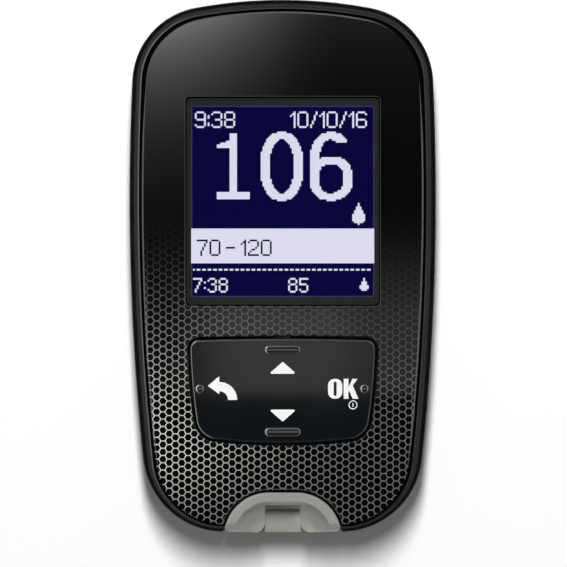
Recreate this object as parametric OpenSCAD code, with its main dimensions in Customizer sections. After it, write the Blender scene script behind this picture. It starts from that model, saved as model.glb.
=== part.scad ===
// Blood glucose meter, lying on its back.
// Origin: centre of the back's resting plane. +X is the user's right, +Y points to the
// socket end, away from the strip port, and +Z comes out of the front.

/* [Body] */
// Length of the body, from the socket end to the strip end
body_l = 80; // [79:0.5:84]
// Width of the body at its widest point
body_w = 46; // [45.5:0.5:49]
// Height of the crown's highest point over the table
crown_z = 19.7; // [19.5:0.1:20.5]
// Thickness of the moulded walls
wall = 1.6; // [1.4:0.1:1.8]
// Height of the parting line between the two shells
seam_z = 9.8; // [9.6:0.1:10.1]
// How far the back edge is rounded inwards
back_round = 4.6; // [3.6:0.1:5]
// Height over which the back edge is rounded
back_round_h = 8.5; // [7.5:0.5:9]
// Height of the rim around the front panel
rim_z = 18.3; // [18.1:0.1:18.4]
// Width of the rim around the front panel
rim_w = 1.5; // [1.3:0.1:1.7]
// How much narrower the rim is at the strip end, as a share of its width
rim_ease = 0.36; // [0.2:0.02:0.4]
// Height over which the rim is rounded down to the side
shoulder_h = 4.8; // [4:0.2:6]

/* [Outline] */
// Radius of the arc across the socket end
top_r = 72; // [60:2:90]
// Radius of the two corners at the socket end
upper_corner_r = 11.6; // [10:0.2:13]
// Radius of the long sides
side_r = 380; // [340:10:450]
// How far above the middle the body is widest
widest_y = 10.4; // [8:0.2:12]
// Radius of the two corners at the strip end
lower_corner_r = 12.2; // [11:0.2:14]
// Radius of the arc across the strip end
bottom_r = 300; // [240:10:360]

/* [Front panel] */
// Width of the dark groove between the rim and the panel
groove_w = 0.45; // [0.3:0.05:0.6]
// Radius of the crown across the panel
crown_rx = 250; // [230:10:320]
// Radius of the crown along the panel
crown_ry = 800; // [700:20:1000]
// Bevel on the panel's edge and on the key panel's edge
edge_bevel = 0.25; // [0.15:0.05:0.3]
// Height of the shelf that carries the panel
shelf_z = 17.4; // [17.2:0.1:17.6]
// Thickness of that shelf
shelf_t = 1.2; // [1:0.1:1.3]

/* [Display] */
// Width of the clear lens
lens_w = 28.7; // [27.8:0.1:29.2]
// Distance from the socket end to the lens
lens_from_top = 14.85; // [14.6:0.05:15.2]
// Distance from the lens to the key panel
lens_to_keys = 5; // [4.8:0.1:5.4]
// Width of the picture area
view_w = 27.4; // [26:0.1:27.6]
// Dark border above and below the picture area
view_border = 1.15; // [1:0.05:1.6]
// Width of the display glass
glass_w = 29.6; // [29:0.1:30]
// How far the lower glass reaches past each end of the lens
glass_reach = 1.75; // [1.4:0.05:1.8]
// Length of the ledge that the upper glass leaves free
glass_ledge = 2.6; // [2:0.1:3]
// Thickness of one sheet of display glass
glass_t = 0.7; // [0.5:0.05:0.75]
// Thickness of the light guide
guide_t = 1.1; // [0.9:0.1:1.2]
// Thickness of the dark frame under the lens
bezel_t = 0.4; // [0.3:0.05:0.5]

/* [Keys] */
// Width of the key panel along its upper edge
key_w = 27.9; // [27:0.1:28.2]
// Length of the key panel
key_l = 15.7; // [15.2:0.1:16]
// Distance from the strip end to the middle of the key panel
key_from_bottom = 21.4; // [21.3:0.1:21.8]
// Radius of its two upper corners
key_upper_r = 1.4; // [1.1:0.1:1.8]
// Radius of its two lower corners
key_lower_r = 3.3; // [2.8:0.1:3.8]
// Gap around the key panel
key_gap = 0.35; // [0.35:0.05:0.5]
// Thickness of the key panel
key_t = 1.7; // [1.5:0.1:1.8]
// Distance from the pivot to the upper and the lower switch
switch_arm_y = 6.2; // [6.1:0.1:6.3]
// Distance from the pivot to the left and the right switch
switch_arm_x = 11; // [10.9:0.1:11.2]
// Height of the two crossed pivot axes
pivot_z = 15.4; // [15.2:0.1:15.5]
// Radius of the pivot pins
pivot_pin_r = 0.7; // [0.6:0.05:0.75]
// Radial clearance of a pin in its bore
pin_gap = 0.05; // [0.04:0.01:0.06]

/* [Circuit board] */
// Height of the board's lower face
board_z = 7.8; // [7.7:0.1:7.9]
// Thickness of the board
board_t = 1; // [0.8:0.1:1]

/* [Strip port] */
// Width of the strip port's arch
port_w = 17.7; // [17.2:0.1:18.2]
// Length of the arch, from the strip end
port_l = 6.2; // [6:0.1:6.5]
// Radius of the arch's shoulders
port_arch_r = 6.8; // [6:0.1:7.2]
// Width of the band around the dished part
port_band = 1.4; // [1.1:0.1:1.6]
// Height of the dish floor over the table
dish_z = 14.3; // [14.1:0.1:14.6]
// Width of the channel that guides the strip
strip_w = 5.3; // [5:0.1:5.6]
// Height of the channel's floor over the table
strip_z = 12.2; // [12:0.1:12.3]
// Height of the slot that takes the strip
strip_t = 0.8; // [0.7:0.05:0.9]
// Travel of the strip ejector
eject_travel = 3.5; // [3:0.1:3.6]

/* [Battery bay] */
// Diameter of a coin cell
cell_d = 20; // [19.8:0.1:20.1]
// Thickness of a coin cell
cell_t = 3.2; // [3:0.1:3.2]
// Width of the battery door
door_w = 24.6; // [24.2:0.1:25.2]
// Thickness of the battery door
door_t = 1.3; // [1.1:0.1:1.3]
// Clearance around the battery door
door_gap = 0.2; // [0.15:0.05:0.25]
// Radius of the door's hinge pins
hinge_pin_r = 0.6; // [0.5:0.05:0.65]

/* [Screws] */
// Radius of a screw's shank
screw_r = 0.8; // [0.7:0.05:0.9]
// Radius of a screw's head
screw_head_r = 1.6; // [1.4:0.1:1.7]
// Radius of the well that a screw sits in
screw_well_r = 2.1; // [2:0.1:2.2]

/* [Hidden] */
$fn = 48;
over = 1;                                    // how far a cut runs past the face it opens

// Ends and levels that the pieces share.
end_y = body_l / 2;
shelf_under = shelf_z - shelf_t;
board_top = board_z + board_t;
shoulder_z = rim_z - shoulder_h;
reveal = 0.12;                               // fine shadow line at the seam
reveal_h = 0.2;
lip_t = 0.7;                                 // inner lip that lines up the two shells
lip_h = 0.9;
lip_gap = 0.1;
board_gap = 0.4;                             // gap between the board and the walls

// Keys: plan of the panel.
key_y = -end_y + key_from_bottom;
key_widest = 0.75;                           // how far beyond its upper edge it would be widest
key_top_r = 400;
key_side_r = 90;
key_bottom_r = 90;
key_outline = [key_w / 2, key_l / 2, -key_l / 2, key_l / 2 + key_widest, key_top_r,
               key_upper_r, key_side_r, key_lower_r, key_bottom_r];
key_shelf_gap = 0.25;                        // how much wider the opening is in the shelf

// Display: the lens takes the length left between the socket end and the key panel.
lens_l = body_l - lens_from_top - lens_to_keys - key_l / 2 - key_from_bottom;
display_y = end_y - lens_from_top - lens_l / 2;
view_l = lens_l - 2 * view_border;
glass_l = lens_l + 2 * glass_reach;
view_gap = 0.15;                             // gap around the lens
lens_r = 0.8;
lens_bevel = 0.15;
lens_edge = 0.2;                             // depth of the lens's edge under the crown
lens_sink = 0.05;                            // depth of the lens's face under the crown
bezel_r = 0.5;
lens_z = shelf_z + bezel_t;
window_gap = 0.1;
shelf_window_w = view_w + 2 * window_gap;
shelf_window_l = view_l + 2 * window_gap;
glass_gap = 0.2;                             // gap under the shelf
glass_top = shelf_under - glass_gap;
glass_mid = glass_top - glass_t;
glass_low = glass_mid - glass_t;
glass_y0 = display_y - glass_l / 2;
guide_z = glass_low - guide_t;
lamp_count = 3;
lamp_pitch = 8;
lamp_w = 2.4;
lamp_l = 1.4;
holder_wall = 1.2;
holder_gap = 0.2;
holder_w = glass_w + 2 * (holder_gap + holder_wall);
holder_l = glass_l + 2 * (holder_gap + holder_wall);
holder_y0 = display_y - holder_l / 2;
holder_floor_t = 1;
holder_inner_r = 0.4;
flex_w = 16;
flex_t = 0.15;
flex_bend = 0.7;
flex_gap = 0.5;
flex_room = 1.6;                             // height of the lower way out of the holder
flex_out = 0.25;
flex_lift = 0.75;
flex_bond = 0.8;                             // length bonded to the glass ledge
flex_end_gap = 0.1;

// Keys: rocking panel, its pivot and the switches.
key_under = crown_at(key_w / 2, key_y - key_l / 2) - key_t;
key_root = 0.2;                              // how far ridges, posts and ears reach into it
ridge_h = 0.3;
ridge_l = 5.5;
ridge_w = 1.4;
ridge_inset = 1.7;
dot_r = 0.7;
dot_h = 0.2;
dot_inset = 1.65;
pivot_bore_r = pivot_pin_r + pin_gap;
ear_wall = 0.7;
ear_r = pivot_bore_r + ear_wall;
ear_t = 1;
frame_ear_x = 3.9;                           // inner face of the frame's ears
panel_ear_y = 2.5;                           // inner face of the key panel's ears
core_extra = 0.5;                            // how much thicker the cross is than its pins
gimbal_gap = 0.3;
bar_drop = 3.2;
bar_z = pivot_z - bar_drop;
bar_t = 1;
bar_w = 4.8;
bar_foot_gap = 1.3;
bar_foot_x = key_w / 2 + bar_foot_gap;
bar_foot_t = 1.4;
post_r = 0.9;
post_gap = 0.6;
switch_w = 3.5;
switch_h = 1.5;
plunger_r = 0.9;
plunger_h = 0.7;
key_travel = 0.25;                           // travel of a switch before it clicks
switch_gap = 0.15;
post_end = board_top + switch_h + plunger_h + key_travel + switch_gap;

// Parts on the board, from the flexible strip's socket towards the socket end.
part_gap = 0.8;
flex_socket_l = 3.2;
flex_socket_h = 1.3;
flex_socket_in = 3.6;
flex_socket_y = glass_y0 + flex_socket_in;
choke_r = 2;
choke_h = 2.4;
choke_x = -7;
choke_y = flex_socket_y + flex_socket_l / 2 + part_gap + choke_r;
cpu_w = 8;
cpu_h = 1.1;
cpu_x = -6;
cpu_y = choke_y + choke_r + part_gap + cpu_w / 2;
radio_w = 5;
radio_h = 0.9;
radio_x = 6;
crystal_w = 3.2;
crystal_l = 1.5;
crystal_h = 0.8;
small_count = 5;
small_pitch = 4.5;
small_w = 1.6;
small_l = 0.8;
buzzer_r = 3.4;
buzzer_h = 2.5;
buzzer_hole_r = 0.6;
buzzer_hole_h = 1.3;
buzzer_in = 6.2;                             // from the side of the body
buzzer_up = 5.6;                             // from the middle of the key panel

// Strip port and connector.
port_depth = 5.2;
port_back = -end_y + port_depth;             // rear face of the port's front block
port_z = 6.5;                                // lower face of the port
port_corner_r = 3;
port_gap = 0.1;
port_panel_gap = 0.25;                       // how much wider the notch is in the panel
port_flange = 1.1;
port_flange_t = 1.2;
port_ear_gap = 0.4;
dish_round = 3.4;
slot_wall_t = 1.5;
flare = 1.2;
flare_l = 2.2;
port_blend = 0.8;
port_proud = 0.05;
connector_gap = 0.2;
connector_w = 11;
connector_l = 7;
connector_y0 = port_back + connector_gap;
connector_y1 = connector_y0 + connector_l;
connector_roof_t = 1.2;
connector_h = strip_z + strip_t + connector_roof_t - board_top;
connector_back_t = 0.5;
connector_front_t = 1;
connector_lead = 0.3;
chamber_inset = 0.2;
notch_w = 3.2;
contact_count = 5;
contact_pitch = 0.9;
contact_w = 0.45;
contact_t = 0.2;
contact_bend = 0.5;
contact_reach = 3.4;
contact_rise = 0.1;
contact_tail = 0.8;
led_gap = 0.3;
led_w = 1.1;
led_l = 1.2;
led_h = 0.8;

// Ejector: tongue in the connector, arm over the board and spring.
tongue_gap = 0.3;
tongue_t = 1;
tongue_lift = 0.4;                           // clear of the contact springs
tongue_y = connector_y1 - connector_back_t - tongue_gap;
plate_t = 0.8;
plate_gap = 0.6;
plate_z = board_top + connector_h + plate_gap;
plate_l = 3;
plate_side = 1.4;
arm_gap = 0.4;
arm_z = board_top + arm_gap;
arm_t = 1.2;
arm_w = 1.8;
arm_up = 7.9;                                // from the middle of the key panel
arm_y = key_y + arm_up;                      // edge of the arm nearest the socket end
web_w = 1.7;
web_gap = 0.35;
web_x = switch_arm_x - switch_w / 2 - web_gap - web_w;
slide_gap = 0.2;
// Thumb recess in the right wall and the button that slides in it.
pad_l = 9;
pad_end_gap = 0.4;
pad_side_gap = 0.5;
pad_gap = 0.15;
pad_sink = 0.15;
recess_up = 2.5;
recess_h = 4.8;
recess_slope = 3;
recess_depth = 0.75;
recess_back_t = 1.6;
recess_y1 = arm_y + recess_up;
pad_y1 = recess_y1 - pad_end_gap;
recess_y0 = pad_y1 - pad_l - eject_travel - pad_end_gap;
recess_x = side_at(recess_y0) - recess_depth;
recess_z0 = seam_z - recess_h / 2;
recess_z1 = seam_z + recess_h / 2;
stem_out = 0.7;
stem_root = 0.3;
stem_x = recess_x - recess_back_t - stem_out;
pad_z0 = recess_z0 + pad_side_gap;
pad_z1 = recess_z1 - pad_side_gap;
grip_count = 5;
grip_pitch = 1.5;
grip_r = 0.3;
grip_inset = 0.4;
spring_in = 2.35;
spring_x = stem_x - spring_in;
spring_r = 0.85;
spring_wire_r = 0.14;
spring_l = 9.4;
spring_turns = 6;
spring_y1 = arm_y - arm_w;
spring_z = arm_z + arm_t / 2;
spring_post_t = 1.4;
spring_post_w = 2.2;
peg_gap = 0.35;
peg_l = 1.2;

// Micro socket in the end wall.
usb_w = 7.5;
usb_h = 2.5;
usb_l = 5.4;
usb_gap = 0.4;
usb_out = 0.5;
usb_y1 = end_y - wall + usb_out;
usb_wall = 0.3;
usb_back_t = 0.6;
usb_bevel = 0.9;
usb_tongue_w = 3.4;
usb_tongue_in = 0.7;

// Battery bay.
cell_gap = 0.35;
cell_space = 1.2;
cell_pitch = cell_d + cell_space;
cell_bevel = 0.3;
cell_rim = 1.2;
bay_r = cell_d / 2 + cell_gap;
bay_wall = 1;
bay_waist = 2.5;                             // how far the pockets narrow between the cells
bay_to_board = 0.6;
bay_top = board_z - bay_to_board;
bay_roof_t = 1.2;
bay_roof = bay_top - bay_roof_t;
door_z = 0.15;
door_r = 3;
door_pin_l = 1.1;
door_top = door_z + door_t;
cell_lift = 0.35;
cell_z = door_top + cell_lift;
rib_x = 4;
rib_t = 0.8;
rib_l = 10;
rib_gap = 0.1;
barrel_r = 0.9;
barrel_gap = 0.3;
hinge_z = 1.2;
hinge_from_bay = 3.15;
hinge_y = -(cell_pitch / 2 + bay_r + hinge_from_bay);
latch_from_bay = 3.45;
door_y1 = cell_pitch / 2 + bay_r + latch_from_bay;
frame_h = 3.2;                               // raised frame that the door sits in
frame_edge = 1.9;
latch_w = 7;
latch_t = 0.9;
latch_h = 1.5;
latch_set = 0.05;
finger_r = 6.2;                              // hollow for the fingertip, as part of a ball
finger_out = 1.6;
finger_drop = 5.2;
leaf_t = 0.3;
leaf_w = 4;
leaf_tip = 0.5;

// Screws, from the back into the front housing.
boss_wall = 1;
boss_r = screw_well_r + boss_wall;
seat_to_board = 2;
screw_seat = board_z - seat_to_board;
screw_head_h = 1.4;
screw_hex_r = 0.8;
screw_l = 6.8;
screw_gap = 0.2;
pilot_gap = 0.05;
pilot_r = screw_r + pilot_gap;
pilot_end = 0.6;
pillar_wall = 1.35;
pillar_r = pilot_r + pillar_wall;
screw_from_side = 9;
screw_from_top = 9;
screw_from_bottom = 10;
web_clear = 1.4;                             // room between a lower pillar and the ejector
screw_upper_x = body_w / 2 - screw_from_side;
screw_upper_y = end_y - screw_from_top;
screw_lower_x = web_x + web_w + web_clear + pillar_r;
screw_lower_y = -end_y + screw_from_bottom;
screw_spots = [[screw_upper_x, screw_upper_y], [-screw_upper_x, screw_upper_y],
               [screw_lower_x, screw_lower_y], [-screw_lower_x, screw_lower_y]];

// ---------------------------------------------------------------- outlines

// Points on an arc, n steps from angle a0 to angle a1.
function arc(c, r, a0, a1, n) =
    [for (i = [0:n]) c + r * [cos(a0 + (a1 - a0) * i / n), sin(a0 + (a1 - a0) * i / n)]];

function aim(from, to) = atan2(to[1] - from[1], to[0] - from[0]);

// The two points at distance ra from a and rb from b.
function meet(a, ra, b, rb, side) =
    let (v = b - a, d = norm(v), u = v / d, t = (ra * ra - rb * rb + d * d) / (2 * d))
    a + t * u + side * sqrt(ra * ra - t * t) * [-u[1], u[0]];

function higher(p, q) = p[1] > q[1] ? p : q;
function lower(p, q) = p[1] > q[1] ? q : p;
function without_last(list) = [for (i = [0:len(list) - 2]) list[i]];

// Closed outline of five arcs on each side, tangent to each other, moved in by inset.
// s = [half width, top, bottom, widest height, radii of top, upper corner, side,
//      lower corner and bottom].
function soft_outline(s, inset = 0) =
    let (
        a = [0, s[1] - s[4]],
        b = [s[0] - s[6], s[3]],
        c = [0, s[2] + s[8]],
        t = higher(meet(a, s[4] - s[5], b, s[6] - s[5], 1), meet(a, s[4] - s[5], b, s[6] - s[5], -1)),
        q = lower(meet(c, s[8] - s[7], b, s[6] - s[7], 1), meet(c, s[8] - s[7], b, s[6] - s[7], -1)),
        half = concat(
            without_last(arc(a, s[4] - inset, 90, aim(a, t), 3)),
            without_last(arc(t, s[5] - inset, aim(a, t), aim(b, t), 9)),
            without_last(arc(b, s[6] - inset, aim(b, t), aim(b, q), 6)),
            without_last(arc(q, s[7] - inset, aim(b, q), aim(c, q), 9)),
            arc(c, s[8] - inset, aim(c, q), -90, 3)),
        last = len(half) - 1
    )
    concat([for (p = half) [-p[0], p[1]]], [for (i = [last - 1:-1:1]) half[i]]);

body_outline = [body_w / 2, end_y, -end_y, widest_y, top_r, upper_corner_r, side_r, lower_corner_r,
                bottom_r];
function body(inset = 0) = soft_outline(body_outline, inset);

// The same for the rim and the panel, which are moved in less at the strip end.
function front(inset) =
    soft_outline([for (i = [0:8]) body_outline[i] - (i == 2 ? rim_ease * inset : 0)], inset);

// X of the right side at height y along the body, on the long side arc.
function side_at(y) = body_w / 2 - side_r + sqrt(side_r * side_r - (y - widest_y) * (y - widest_y));

function key(inset = 0) = [for (p = soft_outline(key_outline, inset)) p + [0, key_y]];

// Arch of the strip port: flat top and two quarter rounds, open past the strip end.
function port_arch(inset = 0) =
    let (x = port_w / 2 - port_arch_r, y = -end_y + port_l - port_arch_r, r = port_arch_r - inset)
    concat([[x + r, y - port_l]], arc([x, y], r, 0, 90, 10), arc([-x, y], r, 90, 180, 10),
           [[-x - r, y - port_l]]);

function round_rect(w, l, r, c = [0, 0]) =
    concat(arc(c + [w / 2 - r, l / 2 - r], r, 0, 90, 5), arc(c + [r - w / 2, l / 2 - r], r, 90, 180, 5),
           arc(c + [r - w / 2, r - l / 2], r, 180, 270, 5), arc(c + [w / 2 - r, r - l / 2], r, 270, 360, 5));

// Height of the crowned front at x, y.
function crown_at(x, y) = crown_z - x * x / (2 * crown_rx) - y * y / (2 * crown_ry);

function at_z(points, z) = [for (p = points) [p[0], p[1], z]];
function on_crown(points, drop = 0) = [for (p = points) [p[0], p[1], crown_at(p[0], p[1]) - drop]];
function shrunk(points, c, k) = [for (p = points) c + k * (p - c)];
function middle(ring) = [for (k = [0:2]) [for (p = ring) p[k]] * [for (p = ring) 1] / len(ring)];

// Closed solid through rings of equally many points, lowest ring first.
module stack(rings) {
    n = len(rings[0]);
    m = len(rings);
    points = concat([for (r = rings) each r], [middle(rings[0]), middle(rings[m - 1])]);
    sides = [for (k = [0:m - 2], i = [0:n - 1]) let (j = (i + 1) % n)
        each [[k * n + i, (k + 1) * n + i, (k + 1) * n + j], [k * n + i, (k + 1) * n + j, k * n + j]]];
    floor_faces = [for (i = [0:n - 1]) [m * n, i, (i + 1) % n]];
    roof_faces = [for (i = [0:n - 1]) [m * n + 1, (m - 1) * n + (i + 1) % n, (m - 1) * n + i]];
    polyhedron(points, concat(sides, floor_faces, roof_faces));
}

module slab(points, z0, z1) {
    translate([0, 0, z0]) linear_extrude(z1 - z0) polygon(points);
}

module block(x0, x1, y0, y1, z0, z1) {
    translate([x0, y0, z0]) cube([x1 - x0, y1 - y0, z1 - z0]);
}

module rod(x, y, r, z0, z1) {
    translate([x, y, z0]) cylinder(r = r, h = z1 - z0);
}

// Profile in y and z, drawn out along x, centred on x = 0.
module along_x(points, w) {
    translate([-w / 2, 0, 0]) rotate([90, 0, 90]) linear_extrude(w) polygon(points);
}

// Profile in x and z, drawn out from y0 to y1.
module along_y(points, y0, y1) {
    translate([0, y1, 0]) rotate([90, 0, 0]) linear_extrude(y1 - y0) polygon(points);
}

// Outline of a strip of thickness t along a line of points.
function strip_outline(path, t) =
    let (n = len(path),
         turn = [for (i = [0:n - 1]) let (d = path[min(i + 1, n - 1)] - path[max(i - 1, 0)])
             [-d[1], d[0]] / norm(d) * t / 2])
    concat([for (i = [0:n - 1]) path[i] + turn[i]], [for (i = [n - 1:-1:0]) path[i] - turn[i]]);

// ---------------------------------------------------------------- shared cuts

// Outer skin of the back, from the table up to the seam.
function back_rings(inset, floor_z, top_z) =
    concat([for (t = [90:-15:15]) at_z(body(inset + back_round * (1 - cos(t))),
                                       floor_z + (back_round_h - floor_z) * (1 - sin(t)))],
           [at_z(body(inset), back_round_h), at_z(body(inset), top_z)]);

// Outer skin of the front, from the seam up to the rim.
front_rings = concat(
    [at_z(body(reveal), seam_z), at_z(body(reveal), seam_z + reveal_h),
     at_z(body(0), seam_z + reveal_h + reveal)],
    [for (t = [0:15:90]) at_z(front(rim_w * (1 - cos(t))), shoulder_z + shoulder_h * sin(t))]);

// Slot in the right wall that the ejector's stem slides in.
module ejector_slot() {
    block(stem_x - over, recess_x + over,
          arm_y - arm_w - eject_travel - slide_gap, arm_y + slide_gap,
          arm_z - slide_gap, arm_z + arm_t + slide_gap);
}

// Recess for the thumb, with sloping ends.
module thumb_recess() {
    slab([[recess_x, recess_y0], [recess_x, recess_y1],
          [recess_x + recess_slope, recess_y1 + recess_slope],
          [recess_x + recess_slope, recess_y0 - recess_slope]],
         recess_z0, recess_z1);
}

// Thickened wall behind the thumb recess.
module recess_backing(z0, z1) {
    block(recess_x - recess_back_t, side_at(recess_y0), recess_y0 - wall, recess_y1 + wall, z0, z1);
}

// Opening in the end wall for a plug.
module usb_opening() {
    h = usb_h + 2 * usb_gap;
    along_y(round_rect(usb_w + 2 * usb_gap, h, h / 3, [0, board_top + usb_h / 2]),
            end_y - wall - over, end_y + over);
}

// Face of the strip port in x and z, with rounded lower corners.
function port_face(gap, top) =
    let (x = port_w / 2 + gap, z = port_z - gap, r = port_corner_r + gap)
    concat([[x, top]], [[-x, top]], arc([r - x, z + r], r, 180, 270, 6), arc([x - r, z + r], r, 270, 360, 6));

module port_cut() {
    along_y(port_face(port_gap, shelf_z), -end_y - over, port_back + port_gap);
}

module screw_holes(r, z0, z1) {
    for (s = screw_spots) rod(s[0], s[1], r, z0, z1);
}

// ---------------------------------------------------------------- shells

module back_cover() {
    color([0.10, 0.10, 0.11]) difference() {
        intersection() {
            union() {
                difference() {
                    stack(back_rings(0, 0, seam_z));
                    stack(back_rings(wall, wall, seam_z + over));
                }
                battery_bay_walls();
                screw_holes(boss_r, 0, board_z);
                recess_backing(recess_z0 - wall, seam_z);
            }
            stack(concat(without_last(back_rings(0, 0, seam_z)),
                         [at_z(body(0), seam_z - reveal_h), at_z(body(reveal), seam_z)]));
        }
        battery_bay_cuts();
        screw_holes(screw_well_r, -over, screw_seat);
        screw_holes(screw_r + screw_gap, 0, board_z + over);
        thumb_recess();
        ejector_slot();
        usb_opening();
        port_cut();
    }
    color([0.10, 0.10, 0.11]) seam_lip();
}

// Lip inside the seam, cut away at the port, the socket and the thumb recess.
module seam_lip() {
    difference() {
        slab(body(wall - lip_t), seam_z - 2 * lip_h, seam_z + lip_h);
        slab(body(wall), seam_z - 2 * lip_h - over, seam_z + lip_h + over);
        along_y(port_face(port_flange + 2 * lip_gap, shelf_z), -end_y - over, port_back + port_flange_t);
        usb_opening();
        recess_backing(seam_z - 3 * lip_h, seam_z + 3 * lip_h);
    }
}

// Two round pockets side by side, joined between the cells.
module cell_pockets(r, z0, z1) {
    for (side = [-1, 1]) rod(0, side * cell_pitch / 2, r, z0, z1);
    waist = r - bay_waist;
    block(-waist, waist, -cell_pitch / 2, cell_pitch / 2, z0, z1);
}

// Plan of the battery door with its hinge, moved out by m.
function door_plan(m) =
    round_rect(door_w + 2 * m, door_y1 - hinge_y + barrel_r + 2 * m, door_r + m,
               [0, (door_y1 + hinge_y - barrel_r) / 2]);

module battery_bay_walls() {
    cell_pockets(bay_r + bay_wall, 0, bay_top);
    slab(door_plan(door_gap + frame_edge), 0, frame_h);
}

module battery_bay_cuts() {
    hinge_room = barrel_r + barrel_gap;
    cell_pockets(bay_r, -over, bay_roof);
    // Seat of the door.
    slab(door_plan(door_gap), -over, door_top + door_gap);
    // Trough for the hinge barrel and bores for its pins.
    block(-door_w / 2 - door_gap, door_w / 2 + door_gap, hinge_y - hinge_room, hinge_y + hinge_room,
          -over, hinge_z + barrel_r + door_gap);
    translate([0, hinge_y, hinge_z]) rotate([0, 90, 0])
        cylinder(r = hinge_pin_r + pin_gap, h = door_w + 2 * door_pin_l + 2 * door_gap, center = true);
    // Slot for the latch and a hollow for the fingertip.
    block(-latch_w / 2 - door_gap, latch_w / 2 + door_gap, door_y1 - latch_t - 2 * door_gap,
          door_y1 + door_gap, -over, door_top + latch_h + door_gap);
    finger_hollow();
    // Slots for the tails of the two leaf contacts.
    for (side = [-1, 1])
        block(-bay_r / 2 - leaf_t, -bay_r / 2 + leaf_t,
              side * cell_pitch / 2 - leaf_w / 2 - door_gap, side * cell_pitch / 2 + leaf_w / 2 + door_gap,
              bay_roof - over, bay_top + over);
}

// Hollow for the fingertip at the latch, in the cover and in the door.
module finger_hollow() {
    translate([0, door_y1 + finger_out, -finger_drop]) sphere(r = finger_r);
}

module front_housing() {
    color([0.07, 0.07, 0.075]) difference() {
        union() {
            difference() {
                stack(front_rings);
                slab(body(wall), seam_z - over, shelf_under);
                slab(body(wall - lip_t - lip_gap), seam_z - over, seam_z + lip_h + lip_gap);
            }
            screw_holes(pillar_r, board_top, shelf_under);
            intersection() {
                recess_backing(seam_z, recess_z1 + wall);
                slab(body(wall / 2), seam_z, recess_z1 + wall);
            }
            block(spring_x - spring_post_w / 2, spring_x + spring_post_w / 2,
                  spring_y1 - spring_l - spring_post_t, spring_y1 - spring_l,
                  board_top + slide_gap, shelf_under);
        }
        slab(front(rim_w), shelf_z, rim_z + over);
        slab(round_rect(shelf_window_w, shelf_window_l, bezel_r, [0, display_y]),
             shelf_under - over, shelf_z + over);
        slab(key(-key_gap - key_shelf_gap), shelf_under - over, shelf_z + over);
        slab(port_arch(-port_gap), shelf_z, rim_z + over);
        screw_holes(pilot_r, board_top - over, screw_seat + screw_l + pilot_end);
        thumb_recess();
        ejector_slot();
        usb_opening();
        port_cut();
    }
}

// ---------------------------------------------------------------- front

module front_panel() {
    edge = front(rim_w + groove_w);
    inner = front(rim_w + groove_w + edge_bevel);
    color([0.03, 0.03, 0.035]) difference() {
        stack(concat([at_z(edge, shelf_z), on_crown(edge, edge_bevel), on_crown(inner)],
                     [for (k = [0.85, 0.65, 0.45, 0.25, 0.08]) on_crown(shrunk(inner, [0, 0], k))]));
        slab(round_rect(lens_w + 2 * view_gap, lens_l + 2 * view_gap, lens_r + view_gap, [0, display_y]),
             shelf_z - over, crown_z + over);
        slab(key(-key_gap), shelf_z - over, crown_z + over);
        slab(port_arch(-port_gap - port_panel_gap), shelf_z - over, crown_z + over);
    }
}

module display_lens() {
    outline = round_rect(lens_w, lens_l, lens_r, [0, display_y]);
    inner = round_rect(lens_w - 2 * lens_bevel, lens_l - 2 * lens_bevel, lens_r, [0, display_y]);
    color([0.75, 0.80, 0.85, 0.4])
        stack(concat([at_z(outline, lens_z), on_crown(outline, lens_edge), on_crown(inner, lens_sink)],
                     [for (k = [0.7, 0.4, 0.1]) on_crown(shrunk(inner, [0, display_y], k), lens_sink)]));
}

module lcd_bezel() {
    color([0.16, 0.16, 0.18]) difference() {
        slab(round_rect(lens_w, lens_l, lens_r, [0, display_y]), shelf_z, lens_z);
        slab(round_rect(view_w, view_l, bezel_r, [0, display_y]), shelf_z - over, lens_z + over);
    }
}

module lcd_glass() {
    color([0.08, 0.08, 0.30]) union() {
        block(-glass_w / 2, glass_w / 2, glass_y0, glass_y0 + glass_l, glass_low, glass_mid);
        block(-glass_w / 2, glass_w / 2, glass_y0 + glass_ledge, glass_y0 + glass_l, glass_mid, glass_top);
    }
}

module light_guide() {
    color([0.92, 0.93, 0.95]) difference() {
        block(-glass_w / 2, glass_w / 2, glass_y0, glass_y0 + glass_l, guide_z, glass_low);
        // Notches for the lamps along the lower edge.
        for (i = [0:lamp_count - 1]) {
            x = (i - (lamp_count - 1) / 2) * lamp_pitch;
            block(x - lamp_w / 2, x + lamp_w / 2, glass_y0 - over, glass_y0 + lamp_l,
                  guide_z - over, glass_low + over);
        }
    }
}

module lcd_holder() {
    color([0.80, 0.80, 0.78]) difference() {
        slab(round_rect(holder_w, holder_l, holder_wall, [0, display_y]), board_top, glass_top);
        slab(round_rect(glass_w + 2 * holder_gap, glass_l + 2 * holder_gap, holder_inner_r, [0, display_y]),
             guide_z, glass_top + over);
        // Room for the parts on the board.
        slab(round_rect(holder_w - 2 * holder_wall, holder_l - 2 * holder_wall, holder_inner_r,
                        [0, display_y]),
             board_top - over, guide_z - holder_floor_t);
        // Ways out for the flexible strip, above and below.
        block(-flex_w / 2 - flex_gap, flex_w / 2 + flex_gap, holder_y0 - over,
              holder_y0 + holder_wall + over, glass_mid - holder_gap, glass_top + over);
        block(-flex_w / 2 - flex_gap, flex_w / 2 + flex_gap, holder_y0 - over,
              holder_y0 + holder_wall + over, board_top - over, board_top + flex_room);
    }
}

// Flexible strip from the glass ledge round the holder's end to the board.
module lcd_flex() {
    out = holder_y0 - flex_out;
    upper = glass_mid + flex_t / 2;
    under = board_top + flex_lift;
    path = concat(
        [[glass_y0 + glass_ledge - flex_bond, upper]],
        arc([out + flex_bend, upper - flex_bend], flex_bend, 90, 180, 4),
        arc([out + flex_bend, under + flex_bend], flex_bend, 180, 270, 4),
        [[flex_socket_y - flex_socket_l / 2 - flex_end_gap, under]]);
    color([0.75, 0.45, 0.12]) along_x(strip_outline(path, flex_t), flex_w);
}

// ---------------------------------------------------------------- keys

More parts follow.
